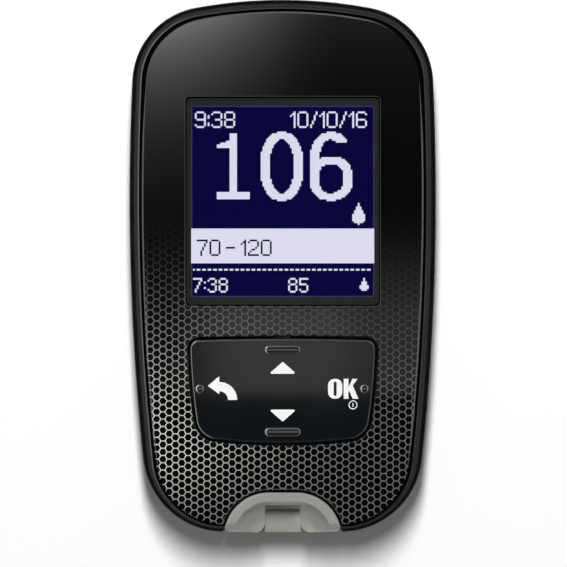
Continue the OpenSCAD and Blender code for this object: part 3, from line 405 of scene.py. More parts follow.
class Nodes:
    """A material's node tree, with short calls for the nodes used here."""

    def __init__(self, name):
        self.material = bpy.data.materials.new(name)
        self.material.use_nodes = True
        self.tree = self.material.node_tree
        self.shader = self.tree.nodes["Principled BSDF"]
        self.place = self.add("ShaderNodeTexCoord").outputs["Object"]

    def add(self, kind, **settings):
        node = self.tree.nodes.new(kind)
        for key, value in settings.items():
            setattr(node, key, value)
        return node

    def link(self, out, socket):
        self.tree.links.new(out, socket)

    def feed(self, socket, value):
        if isinstance(value, bpy.types.NodeSocket):
            self.link(value, socket)
        else:
            socket.default_value = value

    def set(self, **values):
        """Values or links for the shader's inputs, named base_color for Base Color."""
        for key, value in values.items():
            self.feed(self.shader.inputs[key.replace("_", " ").title()], value)

    def hold(self, **values):
        """Constants for the shader's inputs whose names have capitals inside, such as IOR."""
        for key, value in values.items():
            self.shader.inputs[key.replace("_", " ")].default_value = value

    def math(self, operation, a, b=0.0, c=0.0):
        node = self.add("ShaderNodeMath", operation=operation)
        for socket, value in zip(node.inputs, (a, b, c)):
            self.feed(socket, value)
        return node.outputs[0]

    def vector(self, operation, a, b=(0, 0, 0), c=(0, 0, 0)):
        node = self.add("ShaderNodeVectorMath", operation=operation)
        for socket, value in zip(node.inputs, (a, b, c)):
            self.feed(socket, value)
        return node

    def split(self, vector):
        node = self.add("ShaderNodeSeparateXYZ")
        self.link(vector, node.inputs[0])
        return node.outputs

    def times(self, value, *factors):
        """Product of all the values."""
        for factor in factors:
            value = self.math("MULTIPLY", value, factor)
        return value

    def ramp(self, value, start, end, out_start=0.0, out_end=1.0):
        """Smooth step as value goes from start to end."""
        node = self.add("ShaderNodeMapRange", interpolation_type="SMOOTHSTEP")
        for socket, v in zip(node.inputs, (value, start, end, out_start, out_end)):
            self.feed(socket, v)
        return node.outputs[0]

    def step(self, value, start, end, out_start=0.0, out_end=1.0):
        """The same with start and end in millimetres."""
        return self.ramp(value, start * MM, end * MM, out_start, out_end)

    def mix(self, factor, a, b):
        """Colour a where factor is 0, b where it is 1."""
        node = self.add("ShaderNodeMix", data_type="RGBA")
        for index, value in ((0, factor), (6, a), (7, b)):
            self.feed(node.inputs[index], value)
        return node.outputs[2]

    def choose(self, factor, a, b):
        """Vector a where factor is 0, b where it is 1."""
        node = self.add("ShaderNodeMix", data_type="VECTOR")
        for index, value in ((0, factor), (4, a), (5, b)):
            self.feed(node.inputs[index], value)
        return node.outputs[1]

    def noise(self, size, detail=3.0, stretch=(1, 1, 1)):
        """Noise with features of about size millimetres."""
        at = self.vector("MULTIPLY", self.place, tuple(s / (size * MM) for s in stretch))
        node = self.add("ShaderNodeTexNoise")
        self.link(at.outputs[0], node.inputs["Vector"])
        node.inputs["Scale"].default_value = 1.0
        node.inputs["Detail"].default_value = detail
        return node.outputs["Fac"]

    def bump(self, height, depth, strength=1.0):
        """Bump of the given height field, depth in millimetres."""
        node = self.add("ShaderNodeBump")
        node.inputs["Distance"].default_value = depth * MM
        node.inputs["Strength"].default_value = strength
        self.link(height, node.inputs["Height"])
        self.link(node.outputs[0], self.shader.inputs["Normal"])


def rgb(r, g, b):
    """Linear colour of an sRGB colour given from 0 to 255."""
    def linear(v):
        v = v / 255
        return v / 12.92 if v <= 0.04045 else ((v + 0.055) / 1.055) ** 2.4
    return (linear(r), linear(g), linear(b), 1)


def shade(colour, k):
    """The colour at k times its brightness."""
    return tuple(c * k for c in colour[:3]) + (1,)


def moulded(name, colour, roughness, grain, depth, wear=0.15, **more):
    """Moulded plastic: a fine spark-eroded grain, cloudy gloss and a slightly uneven colour."""
    m = Nodes(name)
    m.set(base_color=m.mix(m.noise(6.0), shade(colour, 1 - wear), colour),
          roughness=m.ramp(m.noise(2.5), 0.3, 0.7, roughness * 0.88, min(1, roughness * 1.12)))
    m.hold(**more)
    m.bump(m.noise(grain, 2.0), depth)
    return m.material


def metal(name, colour, roughness):
    """Drawn or plated metal with fine lines along X."""
    m = Nodes(name)
    lines = m.noise(0.6, 4.0, (1, 12, 12))
    m.set(base_color=m.mix(lines, shade(colour, 0.75), colour), metallic=1.0,
          roughness=m.ramp(lines, 0.3, 0.7, roughness * 0.8, roughness * 1.3))
    m.bump(lines, 0.004)
    return m.material


def honeycomb_panel():
    """Black gloss panel with a fine honeycomb of metallic ink that fades out upwards."""
    m = Nodes("honeycomb_gloss")
    side = HEX_SIDE * MM
    reach_to_wall = math.sqrt(3) / 2 * side
    # The cells' middles form two rectangular grids. The nearer middle is that of the cell.
    grid = (1.5 * side, reach_to_wall, 1.0)
    flat = m.vector("MULTIPLY", m.place, (1, 1, 0)).outputs[0]
    moved = m.vector("ADD", flat, (grid[0], grid[1], 0)).outputs[0]
    minus = tuple(-v for v in grid)
    first = m.vector("WRAP", flat, grid, minus).outputs[0]
    second = m.vector("WRAP", moved, grid, minus).outputs[0]
    nearer = m.math("LESS_THAN", m.vector("LENGTH", first).outputs["Value"],
                    m.vector("LENGTH", second).outputs["Value"])
    offset = m.choose(nearer, second, first)
    x, y, _ = m.split(m.vector("ABSOLUTE", offset).outputs[0])
    slanted = m.math("MULTIPLY_ADD", x, math.cos(math.radians(30)), m.math("MULTIPLY", y, 0.5))
    reach = m.math("MAXIMUM", y, slanted)
    line = m.ramp(reach, reach_to_wall - 0.105 * MM, reach_to_wall - 0.04 * MM)
    # The ink fades out below the display, and it is painted brightest at the lower left: a painted
    # highlight, where the light falls on the ink.
    px, py, _ = m.split(m.place)
    ink = m.times(line, m.math("POWER", m.step(py, 14, -28), 2.3))
    # Painted highlight: how far the ink's colour is lightened towards the left.
    left = m.times(m.math("POWER", m.step(px, 22, -22), 2.2), m.step(py, -40, -27))
    silver_with_painted_highlight = m.mix(left, rgb(104, 104, 101), rgb(206, 203, 197))
    m.set(base_color=m.mix(ink, rgb(5, 5, 5), silver_with_painted_highlight),
          metallic=m.math("MULTIPLY", ink, 0.3),
          roughness=m.ramp(ink, 0.0, 1.0, 0.05, 0.4))
    m.hold(Coat_Weight=1.0, Coat_Roughness=0.03)
    m.bump(ink, 0.01, 0.4)
    return m.material


def gloss_black(name, colour, roughness, **more):
    """Black gloss plastic under a clear coat."""
    m = Nodes(name)
    m.set(base_color=m.mix(m.noise(5.0), colour, shade(colour, 1.4)),
          roughness=m.ramp(m.noise(8.0), 0.3, 0.7, roughness, roughness * 1.4))
    m.hold(Coat_Weight=0.6, Coat_Roughness=0.03)
    m.hold(**more)
    m.bump(m.noise(3.0, 1.0), 0.004, 0.5)
    return m.material


def lit(name, colour, strength, line=0.86):
    """Glowing face of the display, with the faint grid between its picture points."""
    m = Nodes(name)
    grid = m.vector("FRACTION", m.vector("MULTIPLY", m.place, (1 / (PITCH * MM),) * 3).outputs[0])
    x, y, _ = m.split(grid.outputs[0])
    edge = m.math("MINIMUM", m.math("PINGPONG", x, 0.5), m.math("PINGPONG", y, 0.5))
    tone = m.mix(m.ramp(edge, 0.02, 0.16, line, 1.0), shade(colour, 0.6), colour)
    m.set(base_color=(0.0, 0.0, 0.0, 1), emission_color=tone, emission_strength=strength,
          roughness=0.6)
    m.hold(Specular_IOR_Level=0.0)
    return m.material


def clear(name):
    """Clear lens, almost without refraction."""
    m = Nodes(name)
    m.set(base_color=m.mix(m.noise(9.0), (0.97, 0.98, 0.98, 1), (1, 1, 1, 1)),
          roughness=m.ramp(m.noise(6.0), 0.3, 0.7, 0.0, 0.015))
    m.hold(Transmission_Weight=1.0, IOR=1.06)
    return m.material


def satin_lacquer(name, colour):
    """Dark metallic lacquer with a soft, dim reflection that fades at a flat angle."""
    m = Nodes(name)
    m.set(base_color=m.mix(m.noise(5.0), shade(colour, 0.8), colour),
          roughness=m.ramp(m.noise(2.0), 0.3, 0.7, 0.33, 0.4))
    m.hold(Metallic=1.0, Specular_Tint=(0.02, 0.02, 0.02, 1))
    m.bump(m.noise(0.12, 2.0), 0.004)
    return m.material


def printed_white():
    """White ink, with a little glow that keeps it even."""
    m = Nodes("printed_white")
    speck = m.noise(0.3)
    m.set(base_color=m.mix(speck, rgb(226, 226, 228), rgb(240, 240, 240)),
          roughness=m.ramp(speck, 0.2, 0.8, 0.3, 0.45))
    m.hold(Emission_Color=(1, 1, 1, 1), Emission_Strength=0.02)
    return m.material


# ---------------------------------------------------------------- body

def shoulder():
    """Rings up the rounded shoulder of the rim."""
    start = RIM_Z - SHOULDER_H
    turns = [math.radians(7.5 * i) for i in range(13)]
    return [at_z(front(RIM_W * (1 - math.cos(t))), start + SHOULDER_H * math.sin(t)) for t in turns]


def rim_shell():
    """Front housing: rounded rim, shelf, inner posts and the openings in them."""
    rings = [at_z(body(REVEAL), SEAM_Z), at_z(body(REVEAL), SEAM_Z + REVEAL_H),
             at_z(body(0), SEAM_Z + REVEAL_H + REVEAL)]
    shell = stack("front_rim", rings + shoulder())
    under = SHELF_Z - SHELF_T
    cut(shell,
        slab("t", body(WALL), SEAM_Z - OVER, under),
        slab("t", body(LIP_WALL), SEAM_Z - OVER, SEAM_Z + LIP_H))
    join(shell, recess_backing(), spring_post(under + HIDE),
         *rods(SCREWS, PILLAR_R, BOARD_TOP, under + HIDE))
    window = round_rect(VIEW_W + 2 * VIEW_GAP, VIEW_L + 2 * VIEW_GAP, 0.5, 0, DISPLAY_Y)
    cut(shell,
        *rods(SCREWS, PILOT_R, BOARD_TOP - OVER, high("housing_screws", Z) + PILOT_END),
        ejector_slot(),
        slab("t", front(RIM_W), SHELF_Z, RIM_Z + OVER),
        slab("t", window, under - OVER, RIM_Z + OVER),
        slab("t", key_plan(-KEY_GAP - SHELF_GAP), under - OVER, RIM_Z + OVER),
        slab("t", port_arch(-PORT_GAP), SHELF_Z, RIM_Z + OVER),
        along_y("t", port_face(PORT_GAP, SHELF_Z), -END_Y - OVER, PORT_BACK + PORT_GAP),
        thumb_recess(), usb_opening())
    return smooth(shell, 30)


def port_face(gap, top):
    """Face of the strip port in x and z, with rounded lower corners."""
    x, z, r = PORT_X + PORT_R + gap, PORT_Z - gap, PORT_CORNER_R + gap
    return ([(x, top), (-x, top)] + arc(r - x, z + r, r, 180, 270, 10)
            + arc(x - r, z + r, r, 270, 360, 10))


def thumb_recess():
    """Recess for the thumb, with sloping ends."""
    x, y0, y1, slope = RECESS_X, RECESS_Y0, RECESS_Y1, RECESS_SLOPE
    return slab("t", [(x, y0), (x + slope, y0 - slope), (x + slope, y1 + slope), (x, y1)],
                SEAM_Z - RECESS_H, SEAM_Z + RECESS_H)


def recess_backing():
    """Thicker wall behind the thumb recess."""
    top = SEAM_Z + RECESS_H + WALL
    wall = block("t", RECESS_X - WALL, BODY[0], RECESS_Y0 - WALL, RECESS_Y1 + WALL, SEAM_Z, top)
    return common(wall, slab("t", body(LIP_WALL - HIDE), SEAM_Z - OVER, top + OVER))


def ejector_slot():
    """Slot in that wall, along which the ejector's stem slides."""
    y = high("ejector_arm", Y)
    z = low("ejector_arm", Z)
    return block("t", RECESS_X - WALL - OVER, RECESS_X + OVER,
                 y - ARM_W - TRAVEL - SLIDE_GAP, y + SLIDE_GAP, z - SLIDE_GAP, z + ARM_T + SLIDE_GAP)


def spring_post(top):
    """Post that the fixed end of the ejector's coil rests on."""
    x = (low("ejector_spring", X) + high("ejector_spring", X)) / 2
    y = low("ejector_spring", Y)
    return block("t", x - POST_W / 2, x + POST_W / 2, y - POST_T, y, BOARD_TOP + SLIDE_GAP, top)


def usb_opening():
    """Opening in the end wall for a plug."""
    plan = round_rect(SOCKET_W, SOCKET_H, SOCKET_H / 3, 0, middle("usb_connector", Z))
    return along_y("t", plan, END_Y - WALL - OVER, END_Y + OVER)


def bevelled_hole(plan_at, bevel=BEVEL):
    """Cutter for a hole through the panel, with a bevel where it meets the crown."""
    inside, outside = plan_at(0.0), plan_at(bevel)
    above = [(x, y, crown(x, y) + OVER) for x, y in plan_at(bevel + 0.001)]
    return stack("t", [at_z(inside, SHELF_Z - OVER), on_crown(inside, bevel),
                       on_crown(outside), above])


def notch(bevel):
    """The port's notch in the panel, with the two corners at the panel's edge rounded."""
    gap = NOTCH_GAP + bevel
    r = NOTCH_R - bevel
    arch = port_arch(-gap)[1:-1]
    edge_y = min(y for x, y in front(RIM_W + GROOVE + bevel) if abs(x) > PORT_X + PORT_R)
    mid_y = edge_y + r
    corner_x = PORT_X + math.sqrt((PORT_R + gap) ** 2 - (mid_y - PORT_Y) ** 2)
    mid_x = corner_x + r
    sweep = arc(mid_x, mid_y, r, 270, 180, 6)
    right = [(mid_x + 2, edge_y - 2), (mid_x + 2, edge_y - 0.01), (mid_x, edge_y - 0.01)] + sweep[1:]
    upper = [(x, y) for x, y in arch if y > mid_y + 0.05]
    left = [(-x, y) for x, y in right[::-1]]
    return right + upper + left


def window_hole(inset):
    """Outline of the panel's hole for the lens, opened by inset."""
    gap = 2 * (LENS_GAP + inset)
    return round_rect(LENS_W + gap, LENS_L + gap, LENS_R + LENS_GAP + inset, 0, DISPLAY_Y)


def front_panel():
    """Gloss panel on the shelf, crowned both ways."""
    edge = front(RIM_W + GROOVE)
    inner = front(RIM_W + GROOVE + BEVEL)
    rings = [at_z(edge, SHELF_Z), on_crown(edge, BEVEL), on_crown(inner)]
    rings += [on_crown(shrunk(inner, k)) for k in (0.85, 0.7, 0.55, 0.4, 0.25, 0.1)]
    panel = stack("panel_sheet", rings)
    cut(panel,
        bevelled_hole(window_hole, 0.12),
        bevelled_hole(lambda m: key_plan(-KEY_GAP - m), 0.18),
        bevelled_hole(notch))
    return smooth(panel, 25, crowned=True)


def lens():
    """Clear window, a hair below the crown, with a bevelled edge."""
    plan = round_rect(LENS_W, LENS_L, LENS_R, 0, DISPLAY_Y)
    inner = round_rect(LENS_W - 0.3, LENS_L - 0.3, LENS_R, 0, DISPLAY_Y)
    rings = [at_z(plan, LENS_Z), on_crown(plan, 0.2), on_crown(inner, 0.05)]
    rings += [on_crown(shrunk(inner, k, 0, DISPLAY_Y), 0.05) for k in (0.8, 0.5, 0.2)]
    return smooth(stack("display_window", rings), 25, crowned=True)


# ---------------------------------------------------------------- keys

def pill(name, cx, cy, l, height):
    """Low rounded grip bar on the crown, or a round grip dot where l is about its width."""
    rings = []
    for k, h in ((1.0, -1.0), (1.0, 0.8 / 3), (0.94, 0.6), (0.8, 2.6 / 3), (0.55, 2.95 / 3), (0.2, 1.0)):
        w = GRIP_W * k
        plan = round_rect(l - GRIP_W + w, w, w / 2 - 0.004, cx, cy, 10)
        rings.append([(x, y, crown(cx, cy) + h * height) for x, y in plan])
    return smooth(stack(name, rings), 50)


def grips():
    """Two bars above and below the arrows, and two dots at the sides."""
    return [pill("grip_0", 0, KEY_Y + GRIP_Y, 5.5, 0.3),
            pill("grip_1", 0, KEY_Y - GRIP_Y, 5.5, 0.3),
            pill("grip_2", -12.4, KEY_Y + 0.3, GRIP_W + 0.01, 0.22),
            pill("grip_3", 12.2, KEY_Y + 0.3, GRIP_W + 0.01, 0.22)]


def key_top():
    """Cap of the key panel, with a soft edge."""
    inner = key_plan(0.3)
    rings = [at_z(key_plan(), KEY_UNDER), on_crown(key_plan(), 0.25),
             on_crown(key_plan(0.11), 0.08), on_crown(inner)]
    rings += [on_crown(shrunk(inner, k, 0, KEY_Y)) for k in (0.8, 0.5, 0.2)]
    return smooth(stack("key_top", rings), 25, crowned=True)


def decal(name, outlines):
    """Printed shape on the crown, from one or more closed outlines without holes."""
    points, faces = [], []
    for plan in outlines:
        start = len(points)
        points += [(x, y, crown(x, y) + PRINT_LIFT) for x, y in plan]
        faces.append(tuple(range(start, len(points))))
    obj = from_faces(name, points, faces)
    bm = bmesh.new()
    bm.from_mesh(obj.data)
    for face in bm.faces:
        if face.normal.z < 0:
            face.normal_flip()
    bmesh.ops.triangulate(bm, faces=bm.faces)
    bm.to_mesh(obj.data)
    bm.free()
    return obj


def thick_line(path, width):
    """Outline of a line of constant width."""
    left, right = [], []
    for i, (x, y) in enumerate(path):
        ax, ay = path[max(i - 1, 0)]
        bx, by = path[min(i + 1, len(path) - 1)]
        d = math.hypot(bx - ax, by - ay)
        nx, ny = -(by - ay) / d * width / 2, (bx - ax) / d * width / 2
        left.append((x + nx, y + ny))
        right.append((x - nx, y - ny))
    return left + right[::-1]


def blunt(corners, r):
    """Polygon with its corners rounded. Corners run anticlockwise."""
    plan = []
    for i, (x, y) in enumerate(corners):
        ax, ay = corners[i - 1]
        bx, by = corners[(i + 1) % len(corners)]
        into = Vector((x - ax, y - ay)).normalized()
        out = Vector((bx - x, by - y)).normalized()
        half = math.acos(max(-1, min(1, -into.dot(out)))) / 2
        centre = Vector((x, y)) + (out - into).normalized() * (r / math.sin(half))
        start = math.degrees(math.atan2(-into.x, into.y))
        turn = 180 - 2 * math.degrees(half)
        plan += arc(centre.x, centre.y, r, start, start + turn, 5)
    return plan


def strip_of_quads(one_side, other_side):
    """Quads between two rows of equally many points."""
    n = len(one_side) - 1
    return [[one_side[i], one_side[i + 1], other_side[i + 1], other_side[i]] for i in range(n)]


def arrow_marks():
    """Two triangles, up and down, and the bent back arrow."""
    up_y, down_y, tall, half, r = -16.05, -21.4, 1.8, 2.05, 0.16
    up = blunt([(-half, up_y), (half, up_y), (0, up_y + tall)], r)
    down = blunt([(-half, down_y), (0, down_y - tall), (half, down_y)], r)
    # The back arrow: a head that points left and a tail that curves down to the right.
    head = [(-11.2, -17.85), (-9.45, -16.4), (-9.45, -19.1)]
    bend = (-9.47, -19.95)
    tail = strip_of_quads(arc(*bend, 2.68, 92, 0, 16), arc(*bend, 1.3, 92, 0, 16))
    return [decal("icon_up", [up]), decal("icon_down", [down]), decal("icon_back", [head] + tail)]


def ok_mark():
    """The two letters, condensed and heavy."""
    top, base, stroke, left = -16.8, -19.78, 0.72, 6.75
    mid, tall = (top + base) / 2, top - base
    outer = round_rect(2.15, tall, 1.0, left + 1.08, mid, 6)
    hole = round_rect(0.44, tall - 0.85, 0.2, left + 1.08, mid, 6)
    letters = strip_of_quads(outer + outer[:1], hole + hole[:1])
    k = left + 2.35
    right = k + stroke
    letters.append([(k, base), (right, base), (right, top), (k, top)])
    letters.append([(k + 1.3, top), (k + 2.05, top), (right, mid - 0.5), (right, mid + 0.2)])
    letters.append([(k + stroke * 0.9, mid + 0.1), (k + 1.35, base), (k + 2.2, base),
                    (right + 0.62, mid + 0.55)])
    return decal("icon_ok", letters)


def power_mark():
    """Ring with a short upright bar."""
    x, y, r, line, half_w, half_h = 10.5, -20.7, 0.6, 0.13, 0.07, 0.28
    outline = thick_line(arc(x, y, r, 0, 360, 28), line)
    n = len(outline) // 2
    bar = [(x - half_w, y - half_h), (x + half_w, y - half_h),
           (x + half_w, y + half_h), (x - half_w, y + half_h)]
    return decal("icon_power", strip_of_quads(outline[:n], outline[:n - 1:-1]) + [bar])


# ---------------------------------------------------------------- strip port

def port_skin():
    """The body's outer form, which the port's face follows, with a top just above the crown."""
    turns = [math.radians(90 - 15 * i) for i in range(6)]
    rings = [at_z(body(BACK_ROUND * (1 - math.cos(t))), BACK_ROUND_H * (1 - math.sin(t))) for t in turns]
    rings += [at_z(body(0), BACK_ROUND_H), at_z(body(0), SEAM_Z)] + shoulder()
    top = front(RIM_W + 0.8)
    rings += [on_crown(shrunk(top, k), -0.05) for k in (1, 0.8, 0.4, 0.1)]
    return stack("t", rings)


def strip_end(r=1.1):
    """Plan that rounds the port's outer corners at the strip end."""
    side = PORT_X + PORT_R - 0.12
    cy = min(y for x, y in body(0) if abs(abs(x) - side) < 0.5) + r
    corner = arc(side - r, cy, r, -85, 0, 8)
    right = [(side - r - 0.2, -END_Y - OVER)] + corner + [(side, PORT_BACK + OVER)]
    return right + [(-x, y) for x, y in right[::-1]]


def dish(band=1.4, width=3.8, bottom=15.2):
    """Cutter for the two lobes: a hollow that rises to the band."""
    depth = CROWN_Z - bottom
    turns = [math.radians(7.0 * i) for i in range(10)]
    rings = [at_z(port_arch(band + width * (1 - math.sin(t))), bottom + depth * (1 - math.cos(t)))
             for t in turns]
    rings.append(at_z(port_arch(band - 0.5), CROWN_Z + 0.5))
    return stack("t", rings)


def rounded_arch(r=0.3, sink=0.05):
    """The arch with its upper edge rounded into a top that lies a hair below the crown."""
    turns = [math.radians(t) for t in (0, 25, 50, 75, 90)]
    edge = [on_crown(port_arch(r * (1 - math.cos(t))), sink + r - r * math.sin(t)) for t in turns]
    return stack("t", [at_z(port_arch(0), PORT_Z)] + edge + [at_z(port_arch(r), CROWN_Z + OVER)])


def mouth(r=1.6):
    """Plan of the channel's mouth, flared towards the strip end."""
    side = [(x, y - 0.001) for x, y in arc(CHANNEL + r, -END_Y + r, r, 180, 270, 8)]
    ends = [(CHANNEL + r, -END_Y - OVER), (-CHANNEL - r, -END_Y - OVER)]
    return side + ends + [(-x, y) for x, y in side[::-1]]


def port_block():
    """Strip port: an arch with a band, two dished lobes, a channel, its flared mouth and a slot."""
    port = along_y("port_arch", port_face(0, CROWN_Z + OVER), -END_Y - OVER, PORT_BACK)
    join(port, slab("t", port_arch(0), SHELF_Z, CROWN_Z + OVER))
    common(port, rounded_arch(), slab("t", strip_end(), PORT_Z, CROWN_Z + OVER), port_skin())
    end_y = PORT_BACK - 1.5
    floor, w = CHANNEL_FLOOR, CHANNEL
    cut(port, dish(),
        block("t", -w, w, -END_Y - OVER, end_y, floor, CROWN_Z),
        block("t", -w, w, end_y - OVER, end_y + 0.5, CHANNEL_LEDGE, CROWN_Z),
        slab("t", mouth(), floor, CROWN_Z),
        block("t", -w, w, end_y - OVER, PORT_BACK + OVER, floor, floor + SLOT_H))
    soften(port, 0.1, 50)
    return smooth(port, 32, crowned=True)


# ---------------------------------------------------------------- display

# Small plain figures drawn in picture points, nine rows high, a row to a word
FIGURES = {
    "0": ".####. #....# #....# #....# #....# #....# #....# #....# .####.",
    "1": "..# .## #.# ..# ..# ..# ..# ..# ..#",
    "2": ".####. #....# .....# .....# ....#. ..##.. .#.... #..... ######",
    "3": ".####. #....# .....# .....# ..###. .....# .....# #....# .####.",
    "5": "###### #..... #..... #####. .....# .....# .....# #....# .####.",
    "6": ".####. #....# #..... #..... #####. #....# #....# #....# .####.",
    "7": "###### .....# ....#. ....#. ...#.. ...#.. ..#... ..#... ..#...",
    "8": ".####. #....# #....# #....# .####. #....# #....# #....# .####.",
    "9": ".####. #....# #....# #....# .##### .....# .....# #....# .####.",
    ":": ". . # # . . # # .",
    "/": "...# ...# ..#. ..#. ..#. .#.. .#.. #... #...",
    "-": "..... ..... ..... ..... ##### ..... ..... ..... .....",
    " ": ". . . . . . . . .",
}

# The same for the lowest line, eight rows high
LOW_FIGURES = {
    "3": ".###. #...# ....# ..##. ....# ....# #...# .###.",
    "5": "##### #.... #.... ####. ....# ....# #...# .###.",
    "7": "##### ....# ...#. ...#. ..#.. ..#.. .#... .#...",
    "8": ".###. #...# #...# .###. #...# #...# #...# .###.",
    ":": ". . # . . # . .",
}


def write(points, figures, col, row, shapes=FIGURES):
    """Adds the picture points of a row of figures. col and row are the upper left corner."""
    for mark in figures:
        rows = shapes[mark].split()
        for r, line in enumerate(rows):
            points.update((col + c, row + r) for c, dot in enumerate(line) if dot == "#")
        col += len(rows[0]) + 1


def ring(cx, cy, rx, ry, side, end):
    """Picture points of an oval ring, side points thick at its sides and end at top and bottom."""
    def inside(c, r, a, b):
        return (abs(c + 0.5 - cx) / a) ** 2.3 + (abs(r + 0.5 - cy) / b) ** 2.3 <= 1

    span = [(c, r) for c in range(int(cx - rx) - 1, int(cx + rx) + 2)
            for r in range(int(cy - ry) - 1, int(cy + ry) + 2)]
    return {(c, r) for c, r in span if inside(c, r, rx, ry) and not inside(c, r, rx - side, ry - end)}


def large_one(on):
    """The large figure 1: stem, foot and a short flag."""
    on.update((c, r) for c in range(21, 25) for r in range(15, 47))
    on.update((c, r) for c in range(14, 32) for r in range(47, 51))
    on.update((c, r) for c in range(14, 21) for r in range(19, 23) if r >= 21 - (c - 13) // 3)


def large_six(on, cx, cy, rx, ry):
    """The large figure 6: the left and top of an oval, a short hook and a bowl."""
    top = cy - ry
    oval = ring(cx, cy, rx, ry, 5.2, 4.2)
    on.update(p for p in oval if p[0] < cx and p[1] < cy + 6)
    on.update(p for p in oval if p[1] < top + 5 and p[0] < cx + 8.6)
    on.update(ring(cx, cy + 6.6, rx, 12.1, 5.0, 4.0))


def drop_mark(points, cx, cy, r):
    """Drop: a disc of radius r and the two tangents to it from a point above."""
    tip = 2.2 * r
    slope = r / math.sqrt(tip ** 2 - r ** 2)
    touch = r * r / tip
    for c in range(int(cx - r) - 1, int(cx + r) + 2):
        for row in range(int(cy - tip) - 1, int(cy + r) + 2):
            dx, up = abs(c + 0.5 - cx), cy - row - 0.5
            if math.hypot(dx, up) <= r or (touch < up < tip and dx <= (tip - up) * slope):
                points.add((c, row))


def screen_points():
    """Picture points that are lit, as (column, row) from the upper left."""
    on = set()
    write(on, "9:38", 2, 3)
    write(on, "10/10/16", 54, 3)
    large_one(on)
    large_y, large_rx, large_ry = 33, 11.8, 18.8
    on |= ring(49.5, large_y, large_rx, large_ry, 5.3, 4.2)
    large_six(on, 76.4, large_y, large_rx, large_ry)
    drop_mark(on, 91.5, 61, 3.6)
    # The lit bar, with dark figures in it, and a dashed line below.
    bar = {(c, r) for c in range(COLUMNS) for r in range(67, 86)}
    dark = set()
    write(dark, "70 - 120", 3, 73)
    on |= bar - dark
    on.update((c, 89) for c in range(1, COLUMNS - 1) if c % 3 < 2)
    write(on, "7:38", 1, 94, LOW_FIGURES)
    write(on, "85", 53, 94, LOW_FIGURES)
    drop_mark(on, 94.5, 99, 2.3)
    return on


def runs(points, row):
    """First column and the column after the last, for each run of lit points in a row."""
    lit_columns = [c for c in range(COLUMNS) if (c, row) in points]
    starts = [c for c in lit_columns if (c - 1, row) not in points]
    ends = [c + 1 for c in lit_columns if (c + 1, row) not in points or c + 1 == COLUMNS]
    return zip(starts, ends)


def screen_mesh(name, points, z):
    """Lit picture points as flat strips, one for each run in a row."""
    x0, y0 = -VIEW_W / 2, DISPLAY_Y + VIEW_L / 2
    corners, faces = [], []
    for row in range(ROWS):
        top, bottom = y0 - row * PITCH, y0 - (row + 1) * PITCH
        for start, end in runs(points, row):
            left, right = x0 + start * PITCH, x0 + end * PITCH
            first = len(corners)
            corners += [(left, bottom, z), (right, bottom, z), (right, top, z), (left, top, z)]
            faces.append(tuple(range(first, first + 4)))
    return from_faces(name, corners, faces)


def screen_edge(w, z):
    """Faint lighter line of width w round the picture."""
    x, y0, y1 = VIEW_W / 2, DISPLAY_Y - VIEW_L / 2, DISPLAY_Y + VIEW_L / 2
    outer = [(-x, y0, z), (x, y0, z), (x, y1, z), (-x, y1, z)]
    inner = [(-x + w, y0 + w, z), (x - w, y0 + w, z), (x - w, y1 - w, z), (-x + w, y1 - w, z)]
    sides = [(i, (i + 1) % 4, (i + 1) % 4 + 4, i + 4) for i in range(4)]
    return from_faces("screen_edge", outer + inner, sides)


# ---------------------------------------------------------------- put together

def carry_over(name, material, angle=30):
    """Keeps a CAD node, with smooth shading up to an angle and a finished material."""
    obj = nodes[name]
    obj.data.materials.clear()
    obj.data.materials.append(material)
    obj.data.polygons.foreach_set("use_smooth", [True] * len(obj.data.polygons))
    weld = obj.modifiers.new("weld", "WELD")
    weld.merge_threshold = 0.002 * MM
    split = obj.modifiers.new("split", "EDGE_SPLIT")
    split.split_angle = math.radians(angle)


def add(obj, body_name, material, slot, *replaced):
    """Gives a piece its material and body, and hides the CAD nodes that it stands for. Its slot is not
    used.
    """
    dress(obj, material)
    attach(obj, body_name)
    if replaced:
        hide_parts(*replaced)


def add_shell():
    """Front housing, with near-black on the shelf, which is the floor of the groove: painted shade in
    the groove.
    """
    shell = rim_shell()
    add(shell, "housing", satin_lacquer("rim_satin", rgb(68, 68, 68)), "rim_satin", "front_housing")
    # Painted shade: the shelf, seen down the groove between rim and panel, is coloured near-black.
    groove = moulded("groove_painted_shade", rgb(3, 3, 3), 0.9, 0.2, 0.01, Specular_IOR_Level=0.05)
    shell.data.materials.append(groove)
    for face in shell.data.polygons:
        on_shelf = abs(face.center.z - SHELF_Z * MM) < 0.01 * MM
        face.material_index = 1 if on_shelf else 0


def add_window():
    """Clear lens. It casts no shadow on the display."""
    window = lens()
    add(window, "housing", clear("clear_lens"), "clear_lens", "display_lens")
    window.visible_shadow = False


def add_keys():
    """Key panel with its grips and marks."""
    add(key_top(), "keys", gloss_black("key_gloss", rgb(13, 16, 18), 0.06), "key_gloss", "key_panel")
    # The grips are a darker copy of the key's gloss black: painted shade for the dark that their gloss
    # mirrors.
    grip_gloss_painted_shade = gloss_black("pill_gloss", rgb(6, 7, 7), 0.04,
                               Specular_IOR_Level=1.0, Coat_Weight=1.0, Coat_IOR=1.65)
    for grip in grips():
        add(grip, "keys", grip_gloss_painted_shade, "key_gloss")
    ink = printed_white()
    for mark in arrow_marks() + [ok_mark(), power_mark()]:
        add(mark, "keys", ink, "white_plastic")


def add_picture():
    """Lit figures and the line round the picture, just above the display glass."""
    figures = screen_mesh("screen_figures", screen_points(), GLASS_TOP + 0.03)
    add(figures, "housing", lit("screen_light", rgb(214, 212, 232), 1.1), "display_glass")
    edge = screen_edge(0.16, GLASS_TOP + 0.02)
    add(edge, "housing", lit("screen_edge", rgb(56, 54, 98), 1.0), "display_glass")


